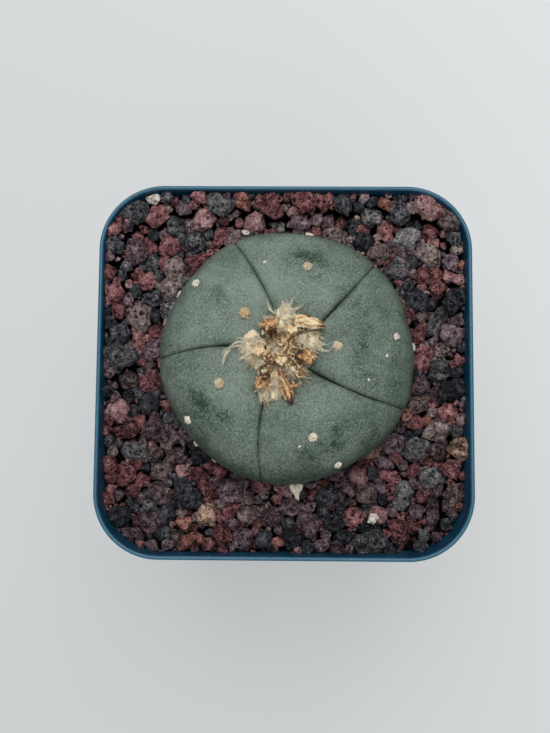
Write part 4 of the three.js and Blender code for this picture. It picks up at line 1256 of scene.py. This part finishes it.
def gravel_bed():
    """The packed fines that the stones lie on, down to the pot's floor, painted near black as shade."""
    inset = WALL + GAP + 0.15
    collar = POT_HEIGHT - COLLAR_DEPTH
    floor_top = FLOOR_RISE + FLOOR_THICK
    rim = wall_ring(POT_HEIGHT - GRAVEL_DEPTH, inset, below=True)
    rings = [
        wall_ring(floor_top + GAP, inset),
        wall_ring(collar - 0.1, inset),
        wall_ring(collar + COLLAR_STEP + 0.4, inset, below=True),
        rim,
    ]
    for share in np.linspace(1, 0, 60)[:-1]:
        rings.append(rim * [share, share, 1])
    for ring in rings[3:]:
        ring[:, 2] = [gravel_top(x, y) - BED_BELOW_TOPS - 0.4 for x, y, _ in ring]
        ring[:, 2] += 0.5 * rough(ring * [1, 1, 0], 1.6, 3)
    points = np.concatenate(rings + [[rings[-1].mean(axis=0)], [[0, 0, floor_top + GAP]]])
    count = len(rings[0])
    last_ring = (len(rings) - 1) * count
    heap = Heap()
    heap.add(points, grid_faces(len(rings), count))
    heap.faces.extend([fan(count, last_ring, len(points) - 2), fan(count, 0, len(points) - 1, over=True)])
    heap.piece("gravel_bed", fines_in_painted_shade(), "lava_stone", "lava_gravel")


# The set

FOCAL_PIXELS = 1200  # the camera's focal length, in pixels of the photo
PHOTO_HEIGHT = 733
CAMERA_AT = (2.9, -30.2, 322)
CAMERA_TILT, CAMERA_YAW, CAMERA_ROLL = 6.992, 1.112, 0.479


def paper_sweep():
    """Matte white paper, plain and soft, that glows as painted light, a little brighter at the back and the
    right.
    """
    finish, tree, place = new_finish("paper_sweep")
    # Painted light: the paper's own glow softens the pot's shadow.
    along = add(tree, "VectorMath", {0: place, 1: (0.46, 0.3, 0)}, operation="DOT_PRODUCT")
    glow = add(tree, "MapRange", {
        "Value": along, "From Min": -150 * MM, "From Max": 150 * MM, "To Min": 0.285, "To Max": 0.585})
    surface = add(tree, "BsdfPrincipled", {
        "Base Color": linear(0x8A8A8A), "Roughness": 0.9,
        "Emission Color": linear(0xFAFEFF), "Emission Strength": glow})
    add(tree, "OutputMaterial", {"Surface": surface})
    half = 1500 * MM
    mesh = bpy.data.meshes.new("floor")
    mesh.from_pydata([(-half, -half, 0), (half, -half, 0), (half, half, 0), (-half, half, 0)],
                     [], [(0, 1, 2, 3)])
    mesh.materials.append(finish)
    placed("floor", mesh)


def soft_light(name, at, aim, size, watts):
    """A large soft panel that faces a point."""
    lamp = bpy.data.lights.new(name, "AREA")
    lamp.shape = "SQUARE"
    lamp.size = size * MM
    lamp.energy = watts
    made = placed(name, lamp)
    made.location = Vector(at) * MM
    made.rotation_euler = (Vector(aim) - Vector(at)).to_track_quat("-Z", "Y").to_euler()


def camera():
    """The photo's camera: nearly straight above, a little in front of the pot."""
    lens = bpy.data.cameras.new("camera")
    lens.sensor_width = 36
    lens.lens = 36 * FOCAL_PIXELS / PHOTO_HEIGHT
    made = placed("camera", lens)
    turn = (Matrix.Rotation(math.radians(CAMERA_YAW), 4, "Y")
            @ Matrix.Rotation(math.radians(CAMERA_TILT), 4, "X")
            @ Matrix.Rotation(math.radians(CAMERA_ROLL), 4, "Z"))
    made.matrix_world = Matrix.Translation(Vector(CAMERA_AT) * MM) @ turn
    bpy.context.scene.camera = made


def studio():
    """The floor, an even pale surround, a large soft panel nearly overhead and a weak one in front."""
    paper_sweep()
    world = bpy.data.worlds.new("surround")
    world.use_nodes = True
    glow = world.node_tree.nodes["Background"].inputs
    glow["Color"].default_value = linear(0xF0F2F3)
    glow["Strength"].default_value = 0.2
    bpy.context.scene.world = world
    soft_light("panel", (-20, 360, 900), (0, 0, 0), 800, 8.2)
    soft_light("fill", (0, -700, 700), (0, 0, 0), 800, 2.3)
    bpy.context.scene.view_settings.view_transform = "Standard"


camera()
studio()
moulded_pot()
gravel_bed()
lava_gravel()
waxy_stem()
areole_tufts()
crown_felt()
crown_hairs()
flower_scraps()
dried_flowers()
